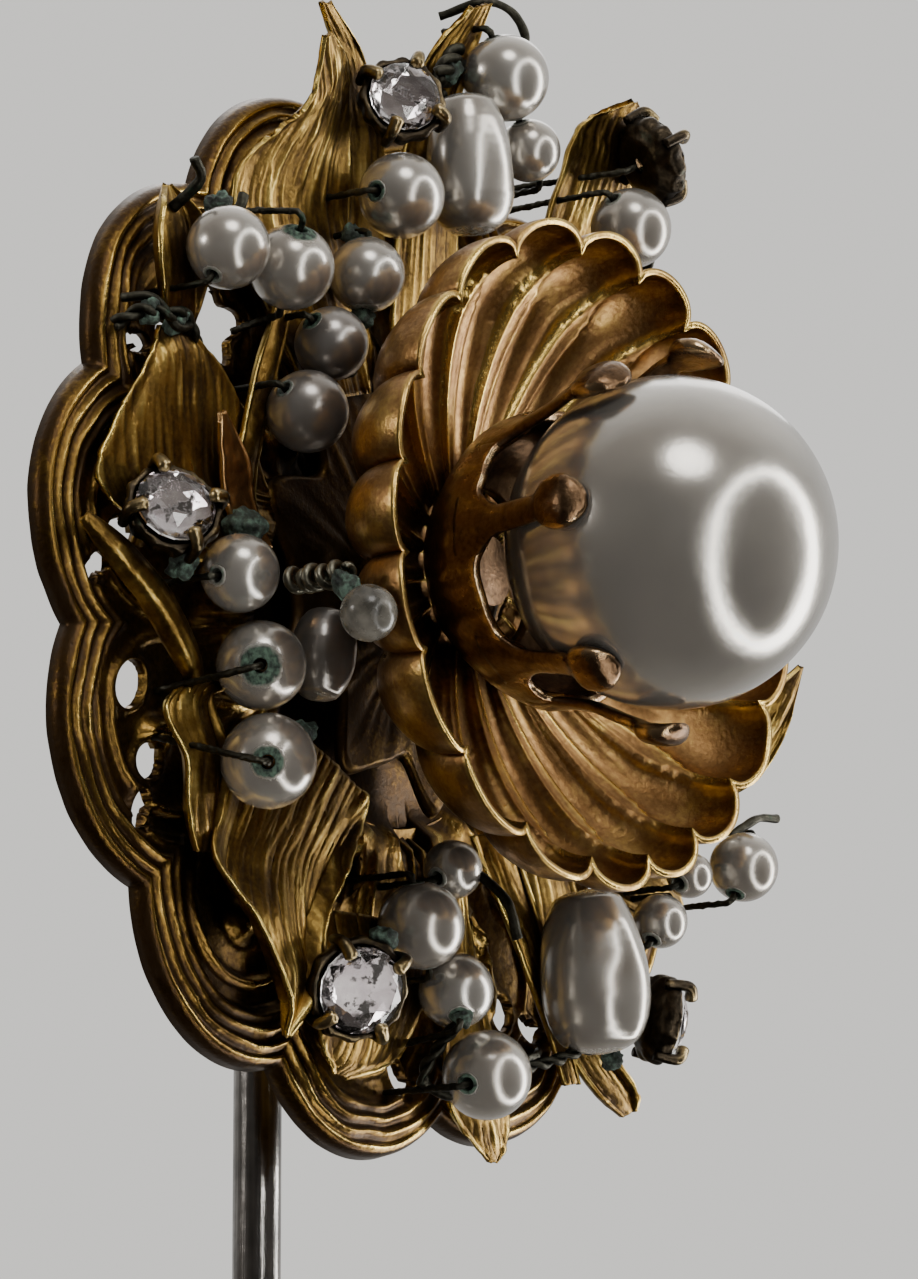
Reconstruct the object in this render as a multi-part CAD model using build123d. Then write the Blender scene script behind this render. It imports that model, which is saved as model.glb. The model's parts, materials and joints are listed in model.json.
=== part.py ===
"""Hat pin with a jewelled head.

A long steel pin carries a round head: a scalloped filigree base with a leaf stamping on it, a fluted
cup with one big pearl in a claw setting, and a wreath of small wired pearls and rhinestones.

Row frame, millimetres: +Z up along the pin towards the head, origin on the pin's axis at the head's
lower edge, and the head's face looks along -Y. The head is drawn in its own face frame, where x runs
to the right, y runs up and z stands out of the face, with z = 0 at the rim of the base.
"""
from build123d import *
import os
from math import cos, pi, sin, sqrt

# ---------------------------------------------------------------- driving dimensions
PIN_RADIUS = 0.9             # steel pin, 1.8 mm wire
PIN_BELOW_HEAD = 109.0       # from the head's lower edge to the point
PIN_TAPER = 6.0              # length of the ground point
PIN_TIP_RADIUS = 0.1
PIN_INSIDE_HEAD = 27.5       # hidden upper end, soldered in the socket
PIN_SHANK_RADIUS = 0.55      # the soldered end is ground thinner
PIN_COLLAR = 13.5            # full size up to just below the socket

LOBES = 12
CREST_RADIUS = 20.0          # head centre to the top of a lobe
CUSP_RADIUS = 18.4           # head centre to the valley between two lobes
FIRST_LOBE = 23.8            # degrees, direction of the first lobe
HEAD_CENTRE_Z = 20.5
RIM_FORWARD = 6.5            # the rim stands this far in front of the pin's axis

SHEET = 0.6                  # stamped brass sheet of the base
SKIRT = 1.3                  # depth of the base's turned edge
RIDGE_HEIGHT = 0.35
LEAF_BOTTOM = 0.38
LEAF_SHEET = 0.4
LEAF_DISC_RADIUS = 9.6
BOSS_TOP = 2.98              # the leaf stamping's boss carries the cup

BACK_DEPTH = 4.4             # the back plate's flat stands this far behind the rim
BACK_RADIUS = 8.8
BACK_FLAT_RADIUS = 6.5
BACK_SHEET = 0.5

CENTRE_X, CENTRE_Y = -0.3, 1.4   # the cup and big pearl sit a little above the middle of the base
CUP_RADIUS = 12.1
CUP_RIM = 9.2                # height of the cup's edge
CUP_DEPTH = 6.2
CUP_SHEET = 0.45
CUP_FLUTES = 19

BIG_PEARL_RADIUS = 6.0
BIG_PEARL_HEIGHT = 12.5
SETTING_FLOOR = 3.75
PEDESTAL_RADIUS = 3.4
BASKET_RADIUS = 5.5          # the setting's basket, from which the claws rise
BASKET_TOP = 7.9
CLAW_THICKNESS = 0.5
CLAW_GAP = 0.06
CLAW_WIDTH = 1.35
CLAW_PAD_RADIUS = 1.05       # round end of a claw, on the pearl's widest part
CLAW_ANGLES = (22, 78, 128, 176, 233, 272, 330)

RIVET_RADIUS = 0.6
RIVET_HOLE = 0.62

WIRE_RADIUS = 0.19           # binding wire
DRILL_RADIUS = 0.25          # hole through a seed pearl, a running fit on the wire
WIRE_BEND = 0.3
WIRE_END = -0.5              # a wire sewn through the stampings ends in the base's sheet
LEG_GAP = 0.34               # from a pearl's end to the wire leg beside it

COIL_START = (-12.2, -1.0, 4.6)  # wire coil beside the cup, in the face frame
COIL_END = (-13.2, -1.3, 7.9)
COIL_RADIUS = 0.36
COIL_PITCH = 0.48
BEAD_CENTRE = (-13.3, -2.8, 8.9)
BEAD_RADIUS = 1.0

SETTING_WALL = 0.3           # a stone setting's rim stands this far outside the stone
SETTING_BACK = 1.15          # depth of a setting behind the girdle

FACE = Plane(origin=(0, -RIM_FORWARD, HEAD_CENTRE_Z), x_dir=(1, 0, 0), z_dir=(0, -1, 0))

# Seed pearls: centre in the face frame, diameter, direction of the drilled hole.
SEED_PEARLS = {
    "upper_left_pearl_1": ((-13.3, 11.1, 2.6), 3.0, (0.6, 0.8, 0.0)),
    "upper_left_pearl_2": ((-10.1, 11.0, 2.9), 3.1, (-0.35, 0.75, 0.55)),
    "upper_left_pearl_3": ((-5.2, 11.8, 2.5), 2.8, (0.1, 1.0, 0.0)),
    "upper_left_pearl_4": ((-7.0, 8.9, 2.3), 2.7, (-0.9, 0.5, 0.0)),
    "upper_left_pearl_5": ((-8.5, 6.1, 2.4), 3.0, (-0.9, 0.4, 0.0)),
    "top_pearl_1": ((-3.5, 15.1, 2.8), 3.2, (-1.0, -0.1, 0.0)),
    "top_pearl_2": ((2.4, 20.9, 3.2), 3.3, (-1.5, 2.5, 0.0)),
    "top_pearl_3": ((3.9, 18.4, 3.2), 2.4, (-1.5, 2.5, 0.0)),
    "top_pearl_4": ((8.7, 16.2, 4.5), 3.1, (-0.8, 0.6, 0.0)),
    "left_pearl_1": ((-12.5, -0.5, 2.6), 2.8, (0.9, 0.2, 0.0)),
    "left_pearl_2": ((-11.3, -3.6, 2.6), 3.2, (-0.78, -0.19, 0.6)),
    "left_pearl_3": ((-11.1, -7.0, 2.8), 3.4, (-0.78, -0.19, 0.6)),
    "lower_pearl_1": ((0.7, -9.3, 2.0), 2.2, (0.9, 0.4, 0.0)),
    "lower_pearl_2": ((-1.8, -11.7, 2.45), 3.2, (-0.3, 1.0, 0.0)),
    "lower_pearl_3": ((0.5, -13.8, 2.3), 2.8, (-0.45, -0.75, 0.45)),
    "lower_pearl_4": ((1.7, -16.8, 2.8), 3.3, (0.93, 0.3, -0.15)),
    "lower_right_pearl_1": ((12.5, -9.9, 3.0), 2.1, (0.6, 0.8, 0.0)),
    "lower_right_pearl_2": ((13.9, -8.0, 3.4), 1.8, (0.9, 0.5, 0.0)),
    "lower_right_pearl_3": ((16.7, -7.4, 4.0), 2.7, (0.5, 0.9, 0.0)),
    "right_pearl_1": ((14.6, -4.2, 2.7), 3.0, (1.0, 0.3, 0.0)),
    "right_pearl_2": ((12.2, -1.5, 2.8), 2.8, (0.9, -0.4, 0.0)),
    "right_pearl_3": ((13.0, 2.6, 2.6), 3.1, (0.9, 0.3, 0.0)),
    "right_pearl_4": ((15.7, 6.3, 2.8), 2.9, (0.9, -0.3, 0.0)),
    "right_pearl_5": ((11.9, 7.6, 2.5), 3.0, (0.8, 0.6, 0.0)),
    "right_pearl_6": ((13.8, 11.3, 2.8), 2.8, (0.8, -0.5, 0.0)),
    "right_pearl_7": ((9.4, 11.9, 2.4), 2.6, (0.7, 0.7, 0.0)),
}
# Pearls that turn on a wire with its own route, below.
FREE_PEARLS = ("upper_left_pearl_2", "top_pearl_2", "top_pearl_3", "left_pearl_2", "left_pearl_3",
               "lower_pearl_3", "lower_pearl_4")

# Rhinestones: centre of the girdle in the face frame, stone radius, direction it looks, foot of its post.
STONES = {
    "top_left_stone": ((-3.6, 18.8, 3.0), 1.35, (-0.6, 0.15, 0.8), (-1.6, 17.6)),
    "top_right_stone": ((10.3, 19.4, 4.7), 1.4, (0.75, 0.45, 0.3), (7.2, 18.2)),
    "left_stone": ((-16.1, 1.3, 2.6), 1.45, (-0.5, 0.35, 0.8), (-14.3, 2.4)),
    "lower_left_stone": ((-5.8, -14.5, 2.8), 1.6, (-0.45, -0.3, 0.85), (-4.6, -13.4)),
    "lower_right_stone": ((12.1, -13.8, 3.6), 1.4, (0.8, -0.1, 0.5), (10.1, -14.6)),
    "right_stone": ((16.9, 2.9, 2.7), 1.4, (0.45, 0.1, 0.85), (16.0, 2.8)),
}

# Acanthus leaves: root and tip in the face plane, half width, rise of the tip above the root.
LEAVES = (
    ((1.2, 8.5), (2.4, 24.0), 2.2, 0.9),
    ((-2.2, 8.6), (-6.0, 22.0), 1.9, 0.3),
    ((-6.5, 6.5), (-14.2, 14.2), 2.1, 0.2),
    ((-8.0, 2.5), (-17.0, 7.5), 2.4, 0.2),
    ((-8.0, -1.5), (-18.0, 0.5), 1.8, 0.1),
    ((-7.5, -4.0), (-16.0, -8.5), 1.9, 0.1),
    ((-5.5, -6.5), (-8.0, -16.8), 2.6, 0.2),
    ((-1.5, -8.0), (-0.5, -18.6), 2.0, 0.1),
    ((4.0, -7.5), (13.8, -16.8), 2.3, 0.2),
    ((7.0, -4.5), (16.8, -8.8), 2.0, 0.2),
    ((8.5, 0.0), (19.3, -1.0), 2.0, 1.2),
    ((7.5, 4.5), (17.8, 8.0), 2.0, 0.2),
    ((6.0, 7.5), (13.0, 15.5), 1.9, 0.2),
    ((3.8, 8.2), (10.6, 21.8), 1.9, 0.9),
)


def shifted(point, direction, distance):
    """A point moved along a direction."""
    return Vector(*point) + Vector(*direction).normalized() * distance


def ring(outer, inner, low, high):
    """A plain tube standing on the face, between two heights."""
    tube = Cylinder(outer, high - low, align=(Align.CENTER, Align.CENTER, Align.MIN))
    bore = Cylinder(inner, high - low, align=(Align.CENTER, Align.CENTER, Align.MIN))
    return Pos(0, 0, low) * (tube - bore)


def disc(radius, low, high):
    """A plain disc standing on the face, between two heights."""
    return Pos(0, 0, low) * Cylinder(radius, high - low, align=(Align.CENTER, Align.CENTER, Align.MIN))


def bent_wire(points, radius=WIRE_RADIUS, bend=WIRE_BEND):
    """Round wire along straight runs joined by small bends."""
    if len(points) == 2:
        path = Line(*points)
    else:
        path = FilletPolyline(*points, radius=bend)
    return sweep((path ^ 0) * Circle(radius), path)


# ---------------------------------------------------------------- pin and mounting
def pin_shaft():
    """Steel pin: thin soldered end, full-size shaft, ground point."""
    taper_start = PIN_TAPER - PIN_BELOW_HEAD
    outline = Polyline(
        (0, 0, -PIN_BELOW_HEAD), (PIN_TIP_RADIUS, 0, -PIN_BELOW_HEAD), (PIN_RADIUS, 0, taper_start),
        (PIN_RADIUS, 0, PIN_COLLAR), (PIN_SHANK_RADIUS, 0, PIN_COLLAR),
        (PIN_SHANK_RADIUS, 0, PIN_INSIDE_HEAD), (0, 0, PIN_INSIDE_HEAD), close=True)
    return revolve(make_face(outline), Axis.Z)


def socket_tube():
    """Tube round the pin's soldered end, with a foot that reaches the back plate."""
    length, outer, foot_length = 13.0, 1.35, 9.0
    tube = Pos(0, 0, HEAD_CENTRE_Z) * Cylinder(outer, length)
    plate_back = -RIM_FORWARD + BACK_DEPTH
    foot = Pos(0, plate_back / 2, HEAD_CENTRE_Z) * Box(1.8, -plate_back, foot_length)
    bore = Pos(0, 0, HEAD_CENTRE_Z) * Cylinder(PIN_SHANK_RADIUS + 0.01, 2 * length)
    return tube + foot - bore


def back_plate():
    """Domed back plate with four pierced holes, soldered under the middle of the base."""
    front = -SHEET
    outline = Polyline(
        (0, 0, -BACK_DEPTH), (BACK_FLAT_RADIUS, 0, -BACK_DEPTH),
        (BACK_RADIUS - 1.0, 0, front - BACK_SHEET), (BACK_RADIUS, 0, front - BACK_SHEET),
        (BACK_RADIUS, 0, front), (BACK_RADIUS - 1.2, 0, front),
        (BACK_FLAT_RADIUS - 0.2, 0, -BACK_DEPTH + BACK_SHEET), (0, 0, -BACK_DEPTH + BACK_SHEET),
        close=True)
    plate = revolve(make_face(outline), Axis.Z)
    for hole in GridLocations(7.0, 5.0, 2, 2):
        plate -= hole * Cylinder(1.0, 4 * BACK_DEPTH)
    return plate


# ---------------------------------------------------------------- stampings
def lobed_face(crest, cusp):
    """Flower outline of round lobes between the crest and cusp radii."""
    half = pi / LOBES
    cusp_x, cusp_y = cusp * cos(half), cusp * sin(half)
    centre = (crest ** 2 - cusp ** 2) / (2 * (crest - cusp_x))
    lobe_radius = crest - centre
    face = Circle(centre)
    for place in PolarLocations(centre, LOBES, start_angle=FIRST_LOBE):
        face += place * Circle(lobe_radius)
    return face


def lobe_arc(radius, thickness):
    """Horseshoe ridge that follows a lobe, open towards the head's middle."""
    arc = Circle(radius) - Circle(radius - thickness)
    return arc - Pos(-radius, 0) * Rectangle(radius * 1.1, 3 * radius)


def base_filigree():
    """Scalloped base with a turned edge, raised ridges and pierced holes."""
    lobe_centre = 13.8
    body = extrude(lobed_face(CREST_RADIUS, CUSP_RADIUS), -SKIRT)
    tray = Pos(0, 0, -SHEET) * extrude(lobed_face(CREST_RADIUS - 0.5, CUSP_RADIUS - 0.55), -SKIRT)
    body -= tray
    for radius in (6.0, 5.1, 4.2):
        ridge = lobe_arc(radius, 0.45)
        limit = Pos(5.5, 0) * Rectangle(11, 2 * (lobe_centre + radius * 0.4) * sin(pi / LOBES))
        ridge = extrude(ridge & limit, RIDGE_HEIGHT)
        for place in PolarLocations(lobe_centre, LOBES, start_angle=FIRST_LOBE):
            body += place * ridge
    for place in PolarLocations(16.2, LOBES, start_angle=FIRST_LOBE):
        body -= place * Pos(0, -1.6) * Cylinder(0.75, 4)
        body -= place * Pos(-0.4, 1.3) * Cylinder(0.6, 4)
    for place in PolarLocations(13.9, LOBES, start_angle=FIRST_LOBE - 5):
        body -= place * Box(1.6, 1.6, 4)
    return body - Pos(CENTRE_X, CENTRE_Y) * Cylinder(RIVET_HOLE, 4)


def leaf(root, tip, half_width, rise):
    """One pointed leaf blade, tilted so that its tip stands clear of the rim."""
    run = Vector(tip[0] - root[0], tip[1] - root[1], rise)
    side = Vector(0, 0, 1).cross(run).normalized()
    blade_plane = Plane(origin=(root[0], root[1], LEAF_BOTTOM), x_dir=run, z_dir=run.cross(side))
    length = run.length
    edge_up = ThreePointArc((0, half_width * 0.7), (length * 0.5, half_width), (length, 0))
    edge_down = ThreePointArc((length, 0), (length * 0.5, -half_width), (0, -half_width * 0.7))
    back = Line((0, -half_width * 0.7), (0, half_width * 0.7))
    return extrude(blade_plane * make_face(edge_up + edge_down + back), LEAF_SHEET)


def leaf_layer():
    """Leaf stamping: a disc with a boss, and pointed leaves all round it."""
    body = disc(LEAF_DISC_RADIUS, LEAF_BOTTOM, LEAF_BOTTOM + LEAF_SHEET)
    for root, tip, half_width, rise in LEAVES:
        body += leaf(root, tip, half_width, rise)
    boss = Pos(CENTRE_X, CENTRE_Y) * disc(2.6, LEAF_BOTTOM, BOSS_TOP)
    return body + boss - Pos(CENTRE_X, CENTRE_Y) * Cylinder(RIVET_HOLE, 20)


def cup_curve(radius, depth, count=7):
    """Points down an elliptic bowl wall, from the rim to its lowest point."""
    steps = [index / (count - 1) * pi / 2 for index in range(count)]
    return [(radius * cos(step), 0, CUP_RIM - depth * sin(step)) for step in steps]


def swirl_cup():
    """Thin round bowl with a scalloped edge: one notch between each two flutes."""
    outer = cup_curve(CUP_RADIUS, CUP_DEPTH)
    inner = cup_curve(CUP_RADIUS - CUP_SHEET, CUP_DEPTH - CUP_SHEET)
    edges = Spline(*outer) + Line(outer[-1], inner[-1]) + Spline(*inner) + Line(inner[0], outer[0])
    cup = revolve(make_face(edges), Axis.Z)
    for place in PolarLocations(CUP_RADIUS, CUP_FLUTES, start_angle=4.0):
        cup -= place * Pos(0, 0, CUP_RIM + 0.25) * Rot(0, 90, 0) * Cylinder(0.5, 2)
    return Pos(CENTRE_X, CENTRE_Y) * (cup - Cylinder(RIVET_HOLE, 20))


def prong_setting():
    """Basket on the cup's floor, with a round seat inside and seven claws that hold the big pearl."""
    inner = BIG_PEARL_RADIUS + CLAW_GAP
    outside = inner + CLAW_THICKNESS
    shell = Sphere(outside) - Sphere(inner)
    lower_half = Pos(0, 0, -5.0) * Box(20, 20, 10)
    seat = Pos(0, 0, BIG_PEARL_HEIGHT) * ((shell & lower_half & Cylinder(4.1, 20)) - Cylinder(2.9, 20))
    seat_height = BIG_PEARL_HEIGHT - sqrt(inner ** 2 - PEDESTAL_RADIUS ** 2)
    pedestal = ring(PEDESTAL_RADIUS, PEDESTAL_RADIUS - 0.5, SETTING_FLOOR, seat_height - 0.4)
    floor = ring(PEDESTAL_RADIUS, RIVET_HOLE, SETTING_FLOOR, SETTING_FLOOR + 0.3)

    wall_inner = BASKET_RADIUS - CLAW_THICKNESS
    basket = revolve(make_face(Polyline(
        (PEDESTAL_RADIUS - 0.3, 0, SETTING_FLOOR), (PEDESTAL_RADIUS, 0, SETTING_FLOOR), (4.7, 0, 5.4),
        (BASKET_RADIUS, 0, 6.7), (BASKET_RADIUS, 0, BASKET_TOP), (wall_inner, 0, BASKET_TOP),
        (wall_inner, 0, 6.9), (4.35, 0, 5.75), (PEDESTAL_RADIUS - 0.3, 0, 4.3), close=True)), Axis.Z)
    widest, tip = BIG_PEARL_HEIGHT, BIG_PEARL_HEIGHT + 0.9
    sleeve = revolve(make_face(Polyline(
        (wall_inner, 0, BASKET_TOP - 0.5), (BASKET_RADIUS, 0, BASKET_TOP - 0.5), (6.2, 0, 9.5),
        (outside, 0, widest - 1.2), (outside, 0, widest), (outside - 0.08, 0, tip + 0.2),
        (inner - 0.04, 0, tip + 0.2), (inner + 0.01, 0, widest), (inner, 0, widest - 1.2),
        (5.7, 0, 9.5), close=True)), Axis.Z)
    claws = basket
    for angle in CLAW_ANGLES:
        arm_length = widest - BASKET_TOP + 0.5
        arm = Pos(BASKET_RADIUS, 0, widest - arm_length / 2) * Box(3.0, CLAW_WIDTH, arm_length)
        pad = Pos(BASKET_RADIUS, 0, widest) * Rot(0, 90, 0) * Cylinder(CLAW_PAD_RADIUS, 3.0)
        claws += Rot(0, 0, angle) * (arm + pad) & sleeve
    return Pos(CENTRE_X, CENTRE_Y) * (claws + seat + pedestal + floor)


def centre_rivet():
    """Rivet through the base, leaf stamping, cup and setting, with a head at each end."""
    head = disc(1.3, SETTING_FLOOR + 0.32, SETTING_FLOOR + 0.7)
    tail = disc(1.4, -SHEET - 0.5, -SHEET - 0.02)
    shank = disc(RIVET_RADIUS, -SHEET - 0.3, SETTING_FLOOR + 0.5)
    return Pos(CENTRE_X, CENTRE_Y) * (head + tail + shank)


# ---------------------------------------------------------------- pearls and bead
def centre_pearl():
    return Pos(CENTRE_X, CENTRE_Y, BIG_PEARL_HEIGHT) * Sphere(BIG_PEARL_RADIUS)


def seed_pearl(centre, diameter, direction):
    """Round pearl drilled right through, from pole to pole."""
    pearl = Sphere(diameter / 2) - Cylinder(DRILL_RADIUS, 2 * diameter)
    return Plane(origin=centre, z_dir=direction) * pearl


def baroque_pearl(length, widest, widest_at):
    """Long uneven pearl, turned about x, widest part way along."""
    half = length / 2
    profile = Spline((-half, 0), (widest_at, widest), (half, 0),
                     tangents=((0, 1), (1, 0), (0, -1)), tangent_scalars=(1, 1, 1))
    return revolve(make_face(profile + Line((half, 0), (-half, 0))), Axis.X)


def top_drop_pearl():
    shape = baroque_pearl(5.4, 1.6, -0.8)
    return Pos(0.3, 17.1, 3.0) * Rot(0, 0, 95) * shape


def left_dark_pearl():
    shape = baroque_pearl(3.4, 1.2, 0.1)
    return Pos(-7.1, -2.5, 2.05) * Rot(0, 0, 80) * shape


def lower_right_baroque_pearl():
    shape = baroque_pearl(6.2, 2.0, -0.6)
    return Pos(7.7, -12.4, 3.3) * Rot(0, 0, 98) * shape


def glass_bead():
    return Pos(*BEAD_CENTRE) * Sphere(BEAD_RADIUS)


# ---------------------------------------------------------------- rhinestones
def stone(radius):
    """Round-cut stone: flat table, crown, thin girdle and pointed back."""
    outline = Polyline((0, 0, -0.75), (radius, 0, 0), (radius, 0, 0.12), (0.58 * radius, 0, 0.55),
                       (0, 0, 0.55), close=True)
    return revolve(make_face(outline), Axis.Z)


def stone_setting(radius):
    """Small round cup with four claws round a stone of the given radius."""
    bore, outer = radius + 0.03, radius + SETTING_WALL
    cup = ring(outer, bore, -0.5, 0.1) + ring(outer, 0.7 * radius, -1.05, -0.45)
    cup += disc(0.9 * radius, -SETTING_BACK, -0.85)
    for place in PolarLocations(radius + 0.2, 4, start_angle=45):
        cup += place * Pos(0, 0, -0.15) * Box(0.3, 0.55, 1.4)
    return cup


# ---------------------------------------------------------------- wires
def staple(centre, diameter, direction):
    """Wire through one pearl, with a leg down through the stampings at each end."""
    reach = diameter / 2 + LEG_GAP
    ends = [shifted(centre, direction, sign * reach) for sign in (-1, 1)]
    feet = [Vector(end.X, end.Y, WIRE_END) for end in ends]
    return bent_wire([feet[0], ends[0], ends[1], feet[1]])


def through(name, before, after, near=LEG_GAP, far=LEG_GAP):
    """Wire with its own route, straight through the named pearl between its two ends."""
    centre, diameter, direction = SEED_PEARLS[name]
    start = shifted(centre, direction, -diameter / 2 - near)
    end = shifted(centre, direction, diameter / 2 + far)
    return bent_wire(before + [start, end] + after)


def staples(prefix):
    """The wires of all the fixed pearls of one group."""
    return [staple(*SEED_PEARLS[name]) for name in SEED_PEARLS
            if name.startswith(prefix) and name not in FREE_PEARLS]


def upper_left_wires():
    drop = through("upper_left_pearl_2", [Vector(-9.3, 9.3, WIRE_END)], [Vector(-11.3, 13.4, WIRE_END)],
                   far=0.7)
    return staples("upper_left") + [drop]


def top_wires():
    lower_centre, _, direction = SEED_PEARLS["top_pearl_3"]
    start = shifted(lower_centre, direction, -1.2 - LEG_GAP)
    upper_centre, diameter, direction = SEED_PEARLS["top_pearl_2"]
    end = shifted(upper_centre, direction, diameter / 2 + LEG_GAP)
    long_wire = bent_wire([Vector(start.X, start.Y, WIRE_END), start, end, Vector(1.5, 22.9, 0.9)])
    return staples("top") + [long_wire]


def left_wires():
    upper = through("left_pearl_2", [Vector(-9.7, -3.2, WIRE_END)], [Vector(-13.4, -4.5, WIRE_END)],
                    far=0.85)
    lower = through("left_pearl_3", [Vector(-9.4, -6.6, WIRE_END)], [Vector(-13.7, -6.1, WIRE_END)],
                    far=0.85)
    return staples("left") + [upper, lower]


def lower_wires():
    inner = through("lower_pearl_3", [Vector(1.2, -12.4, WIRE_END)], [Vector(-0.6, -15.9, WIRE_END)],
                    far=0.7)
    outer = through("lower_pearl_4", [Vector(-0.2, -17.4, WIRE_END)],
                    [Vector(5.2, -15.7, 2.5), Vector(9.4, -14.9, WIRE_END)])
    return staples("lower_pearl") + staples("lower_right") + [inner, outer]


def right_wires():
    return staples("right")


def stone_posts():
    """Post under each rhinestone setting, soldered to it and sewn through the stampings."""
    posts = []
    for centre, _, direction, foot in STONES.values():
        back = shifted(centre, direction, -SETTING_BACK - 0.02)
        knee = shifted(centre, direction, -1.75)
        posts.append(bent_wire([back, knee, Vector(foot[0], foot[1], WIRE_END)], bend=0.2))
    return posts


def coil_wire():
    """Tight coil beside the cup."""
    axis = Vector(*COIL_END) - Vector(*COIL_START)
    helix = Helix(pitch=COIL_PITCH, height=axis.length, radius=COIL_RADIUS)
    turn = sweep((helix ^ 0) * Circle(WIRE_RADIUS), helix, is_frenet=True)
    return Plane(origin=COIL_START, z_dir=axis) * turn


def rim_wraps():
    """Wire wound over the rim beside the upper left leaf, and a knot at the top."""
    wraps = []
    for offset in (0.0, 0.55, 1.1):
        foot = Vector(-15.9 - offset * 0.5, 8.6 - offset, WIRE_END)
        top = Vector(-16.9 - offset * 0.3, 9.4 - offset, 1.3)
        wraps.append(bent_wire([foot, Vector(foot.X, foot.Y, 1.2), top, Vector(top.X, top.Y, WIRE_END)]))
    return wraps


# ---------------------------------------------------------------- writing
def main():
    on_face = FACE.location
    nodes = {"pin_shaft": pin_shaft(), "socket_tube": socket_tube()}
    face_nodes = {
        "back_plate": back_plate(), "base_filigree": base_filigree(), "leaf_layer": leaf_layer(),
        "swirl_cup": swirl_cup(), "prong_setting": prong_setting(), "centre_rivet": centre_rivet(),
        "centre_pearl": centre_pearl(), "top_drop_pearl": top_drop_pearl(),
        "left_dark_pearl": left_dark_pearl(), "lower_right_baroque_pearl": lower_right_baroque_pearl(),
        "glass_bead": glass_bead(), "upper_left_wires": upper_left_wires(), "top_wires": top_wires(),
        "left_wires": left_wires(), "lower_wires": lower_wires(), "right_wires": right_wires(),
        "stone_posts": stone_posts(), "coil_wire": coil_wire(), "rim_wraps": rim_wraps()}
    for name, (centre, diameter, direction) in SEED_PEARLS.items():
        face_nodes[name] = seed_pearl(centre, diameter, direction)
    for name, (centre, radius, direction, _) in STONES.items():
        place = Plane(origin=centre, z_dir=direction)
        face_nodes[name] = place * stone(radius)
        face_nodes[name + "_setting"] = place * stone_setting(radius)
    for name, shape in face_nodes.items():
        pieces = shape if isinstance(shape, list) else [shape]
        nodes[name] = Compound(children=[on_face * piece for piece in pieces])

    os.makedirs("parts", exist_ok=True)
    for name, shape in nodes.items():
        export_step(shape, f"parts/{name}.step")


main()
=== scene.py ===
"""Looks of a gilt hat pin: a big pearl in a fluted cup, wreathed with wired pearls and rhinestones.

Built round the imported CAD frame. Pieces of the head are drawn in the CAD's face frame, in millimetres:
x to the right, y up, w out of the face, w = 0 at the rim of the base. to_row() turns such points into
the row frame, in metres.
"""
import json
from math import acos, asin, cos, pi, radians, sin, sqrt, tau

import bmesh
import bpy
import numpy as np
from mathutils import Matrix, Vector


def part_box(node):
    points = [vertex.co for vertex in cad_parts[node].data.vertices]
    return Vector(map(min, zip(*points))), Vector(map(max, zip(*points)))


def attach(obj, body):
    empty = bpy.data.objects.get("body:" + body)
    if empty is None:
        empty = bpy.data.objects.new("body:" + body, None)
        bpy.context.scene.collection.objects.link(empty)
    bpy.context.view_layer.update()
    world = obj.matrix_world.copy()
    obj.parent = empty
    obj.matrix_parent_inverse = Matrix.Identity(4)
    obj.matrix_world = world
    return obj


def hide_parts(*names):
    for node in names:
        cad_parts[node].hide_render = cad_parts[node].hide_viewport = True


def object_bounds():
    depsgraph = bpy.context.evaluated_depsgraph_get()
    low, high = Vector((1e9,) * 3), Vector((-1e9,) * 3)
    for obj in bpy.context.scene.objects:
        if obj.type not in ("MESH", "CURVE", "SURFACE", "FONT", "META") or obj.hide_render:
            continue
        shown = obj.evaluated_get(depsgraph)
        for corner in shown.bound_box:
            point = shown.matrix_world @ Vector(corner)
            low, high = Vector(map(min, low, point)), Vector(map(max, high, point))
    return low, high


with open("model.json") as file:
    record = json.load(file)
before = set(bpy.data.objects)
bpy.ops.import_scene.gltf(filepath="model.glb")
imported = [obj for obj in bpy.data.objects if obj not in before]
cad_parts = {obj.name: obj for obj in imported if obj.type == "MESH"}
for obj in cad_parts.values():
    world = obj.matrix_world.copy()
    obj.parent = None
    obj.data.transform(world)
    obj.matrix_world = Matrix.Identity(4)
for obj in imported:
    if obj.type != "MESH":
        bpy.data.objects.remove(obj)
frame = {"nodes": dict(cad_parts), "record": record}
cad_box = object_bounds()
nodes = frame["nodes"]

# ---------------------------------------------------------------- face frame
MM = 0.001
RIDGE_TOP = 0.35             # the CAD's highest ridge above the rim of the base, mm
base_low, base_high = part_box("base_filigree")
HEAD_X = (base_low.x + base_high.x) / 2
HEAD_Z = (base_low.z + base_high.z) / 2
RIM_Y = base_low.y + RIDGE_TOP * MM


def to_row(points):
    """Face frame points, mm, as row frame points, metres."""
    p = np.asarray(points, float)
    return np.stack([HEAD_X + p[..., 0] * MM, RIM_Y - p[..., 2] * MM, HEAD_Z + p[..., 1] * MM], -1)


def to_face(points):
    """Row frame points, metres, as face frame points, mm."""
    p = np.asarray(points, float)
    return np.stack([p[..., 0] - HEAD_X, p[..., 2] - HEAD_Z, RIM_Y - p[..., 1]], -1) / MM


def node_points(name):
    """A CAD node's vertices in the face frame, mm."""
    mesh = nodes[name].data
    points = np.empty(len(mesh.vertices) * 3)
    mesh.vertices.foreach_get("co", points)
    return to_face(points.reshape(-1, 3))


def node_ball(name):
    """Centre and radius of a round CAD node, from its box."""
    low, high = (to_face(corner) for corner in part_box(name))
    return (low + high) / 2, np.abs(high - low).max() / 2


pearl_centre, PEARL_RADIUS = node_ball("centre_pearl")
CENTRE = np.array([pearl_centre[0], pearl_centre[1], 0.0])   # the cup's and the big pearl's axis
cup_points = node_points("swirl_cup") - CENTRE
CUP_RADIUS = np.hypot(cup_points[:, 0], cup_points[:, 1]).max()
CUP_RIM = cup_points[:, 2].max()
CUP_DEPTH = CUP_RIM - cup_points[:, 2].min()


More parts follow.
